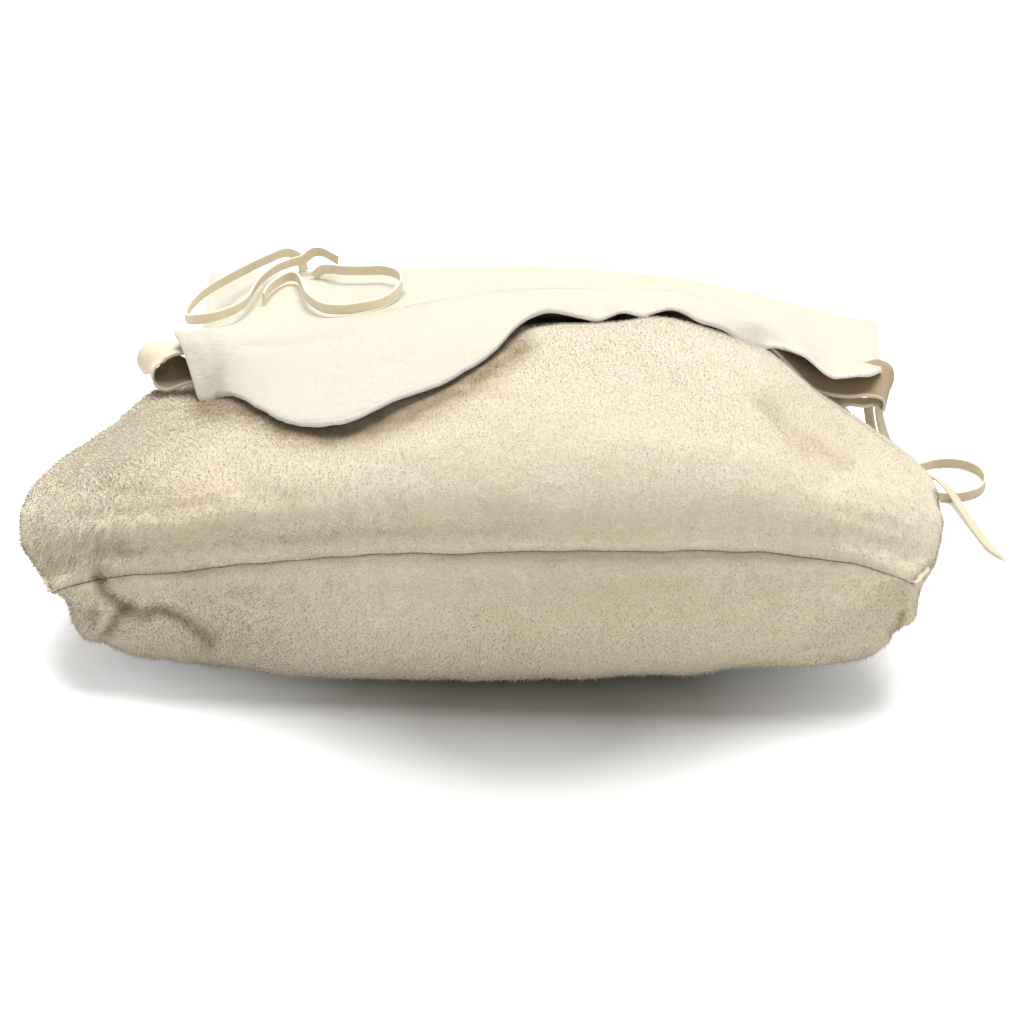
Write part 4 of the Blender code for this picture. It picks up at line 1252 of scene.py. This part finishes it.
def looked_at(tree):
    """1 for what the camera sees straight, in a shiny face or through glass; 0 for light on the bag."""
    path = node(tree, "ShaderNodeLightPath").outputs
    return maths(tree, 'MAXIMUM', maths(tree, 'MAXIMUM', path["Is Camera Ray"], path["Is Glossy Ray"]),
                 path["Is Transmission Ray"])


def make_stage():
    """The pale floor, white to the camera away from the bag, and the plain soft lights. Near the bag the floor's
    colour for the camera darkens into a painted shadow, and a camera-only painted glow lightens the shadow's outer
    part.
    """
    material = bpy.data.materials.new("floor_pale")
    material.use_nodes = True
    tree = material.node_tree
    shader = tree.nodes["Principled BSDF"]
    shader.inputs["Roughness"].default_value = 0.9
    shader.inputs["Specular IOR Level"].default_value = 0.0
    seen = looked_at(tree)
    # Painted shadow: to the camera the floor darkens towards the bag, from white far off to grey under it.
    place = node(tree, "ShaderNodeMapping", {"Vector": node(tree, "ShaderNodeTexCoord").outputs["Object"],
                                             "Location": (-0.15, 1.05, 0.0), "Scale": (5.6, 6.0, 1.0)}).outputs[0]
    reach = node(tree, "ShaderNodeVectorMath", {0: place}, operation='LENGTH').outputs["Value"]
    painted_floor_shadow = mixed(tree, ranged(tree, reach, 0.25, 0.95), (0.38, 0.375, 0.36), (1.0, 1.0, 1.0))
    tree.links.new(mixed(tree, seen, (0.80, 0.78, 0.74), painted_floor_shadow), shader.inputs["Base Color"])
    # Painted light: a glow, seen only by the camera, lightens the outer part of the shadow.
    painted_glow = maths(tree, 'MULTIPLY', seen, ranged(tree, reach, 0.45, 1.0, 0.0, 0.30))
    shader.inputs["Emission Color"].default_value = (0.93, 0.97, 1.0, 1.0)
    tree.links.new(painted_glow, shader.inputs["Emission Strength"])
    corners = [(x * FLOOR_HALF, y * FLOOR_HALF, 0) for x, y in ((-1, -1), (1, -1), (1, 1), (-1, 1))]
    link("floor", mesh_of("floor", corners, [(0, 1, 2, 3)], [material]))
    world = bpy.data.worlds.new("studio")
    bpy.context.scene.world = world
    world.use_nodes = True
    tree = world.node_tree
    back = tree.nodes["Background"]
    path = node(tree, "ShaderNodeLightPath")
    seen = maths(tree, 'MAXIMUM', path.outputs["Is Camera Ray"], path.outputs["Is Glossy Ray"])
    tree.links.new(ranged(tree, seen, 0.0, 1.0, 0.40, 1.0), back.inputs["Strength"])
    back.inputs["Color"].default_value = (0.97, 0.985, 1.0, 1.0)
    for name, kind, place, power, spread in (("key", 'SUN', (0.04, 0.27, 1.0), 4.6, radians(48)),
                                             ("fill", 'AREA', (0.4, -1.5, 0.6), 3.0, 1.0)):
        data = bpy.data.lights.new(name, kind)
        data.energy = power
        if kind == 'SUN':
            data.angle = spread
        else:
            data.shape, data.size = 'DISK', spread
        lamp = bpy.data.objects.new(name, data)
        lamp.location = place
        lamp.rotation_euler = (-Vector(place)).to_track_quat('-Z', 'Y').to_euler()
        bpy.context.collection.objects.link(lamp)


def main():
    scene = bpy.context.scene
    scene.view_settings.view_transform = 'Standard'
    make_camera()
    pile = buckskin("body_buckskin", (0.74, 0.69, 0.58), (0.53, 0.45, 0.32), (0.61, 0.52, 0.375), 620.0, 0.0010, 0.15)
    smooth = buckskin("flap_fine_suede", (0.655, 0.625, 0.535), (0.56, 0.51, 0.40), (0.60, 0.56, 0.45), 1100.0, 0.0005,
                      0.1)
    inside = buckskin("flesh_side_suede", (0.55, 0.43, 0.28), (0.33, 0.24, 0.14), (0.42, 0.31, 0.19), 700.0, 0.0007,
                      0.2)
    body_fur = fibre_material("body_nap_fibre", (0.56, 0.48, 0.35), (0.78, 0.73, 0.62))
    flap_fur = fibre_material("flap_nap_fibre", (0.56, 0.50, 0.36), (0.70, 0.66, 0.55))
    cut = cut_edge_material("cut_edge", (0.82, 0.80, 0.76), (0.62, 0.58, 0.51))
    body_cut = cut_edge_material("body_cut_edge", (0.62, 0.55, 0.42), (0.50, 0.43, 0.31))
    tan = tan_leather("strap_tan", (0.80, 0.69, 0.52), (0.68, 0.57, 0.41), 0.6)
    # The laces are one leather given two tones as painted light: the left is paler to make up for the little light on
    # its upright faces, the right darker to hold down the light on its flat end.
    left_face = lace_leather("left_lace_buckskin", (0.82, 0.72, 0.54), (0.78, 0.73, 0.61))
    right_face = lace_leather("right_lace_buckskin", (0.60, 0.51, 0.355), (0.66, 0.59, 0.45))
    strap_cut = cut_edge_material("strap_cut_edge", (0.72, 0.66, 0.55), (0.55, 0.48, 0.38))
    hollow = buckskin("strap_flesh_side", (0.46, 0.37, 0.25), (0.27, 0.20, 0.12), (0.35, 0.27, 0.17), 700.0, 0.0005,
                      0.1)
    thread = plain_thread("seam_thread", (0.36, 0.26, 0.15))
    graph = bpy.context.evaluated_depsgraph_get()
    trees = {n: BVHTree.FromObject(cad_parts[n], graph) for n in ("front_panel", "flap", "shoulder_strap")}
    make_laces(left_face, right_face, trees)
    fibre, grow, back = make_body(pile, body_fur, body_cut, thread)
    make_flap(trees["front_panel"], smooth, inside, cut, flap_fur, fibre, grow, back)
    bpy.data.objects.remove(fibre, do_unlink=True)
    make_strap(trees["front_panel"], tan, hollow, strap_cut)
    make_stage()


main()
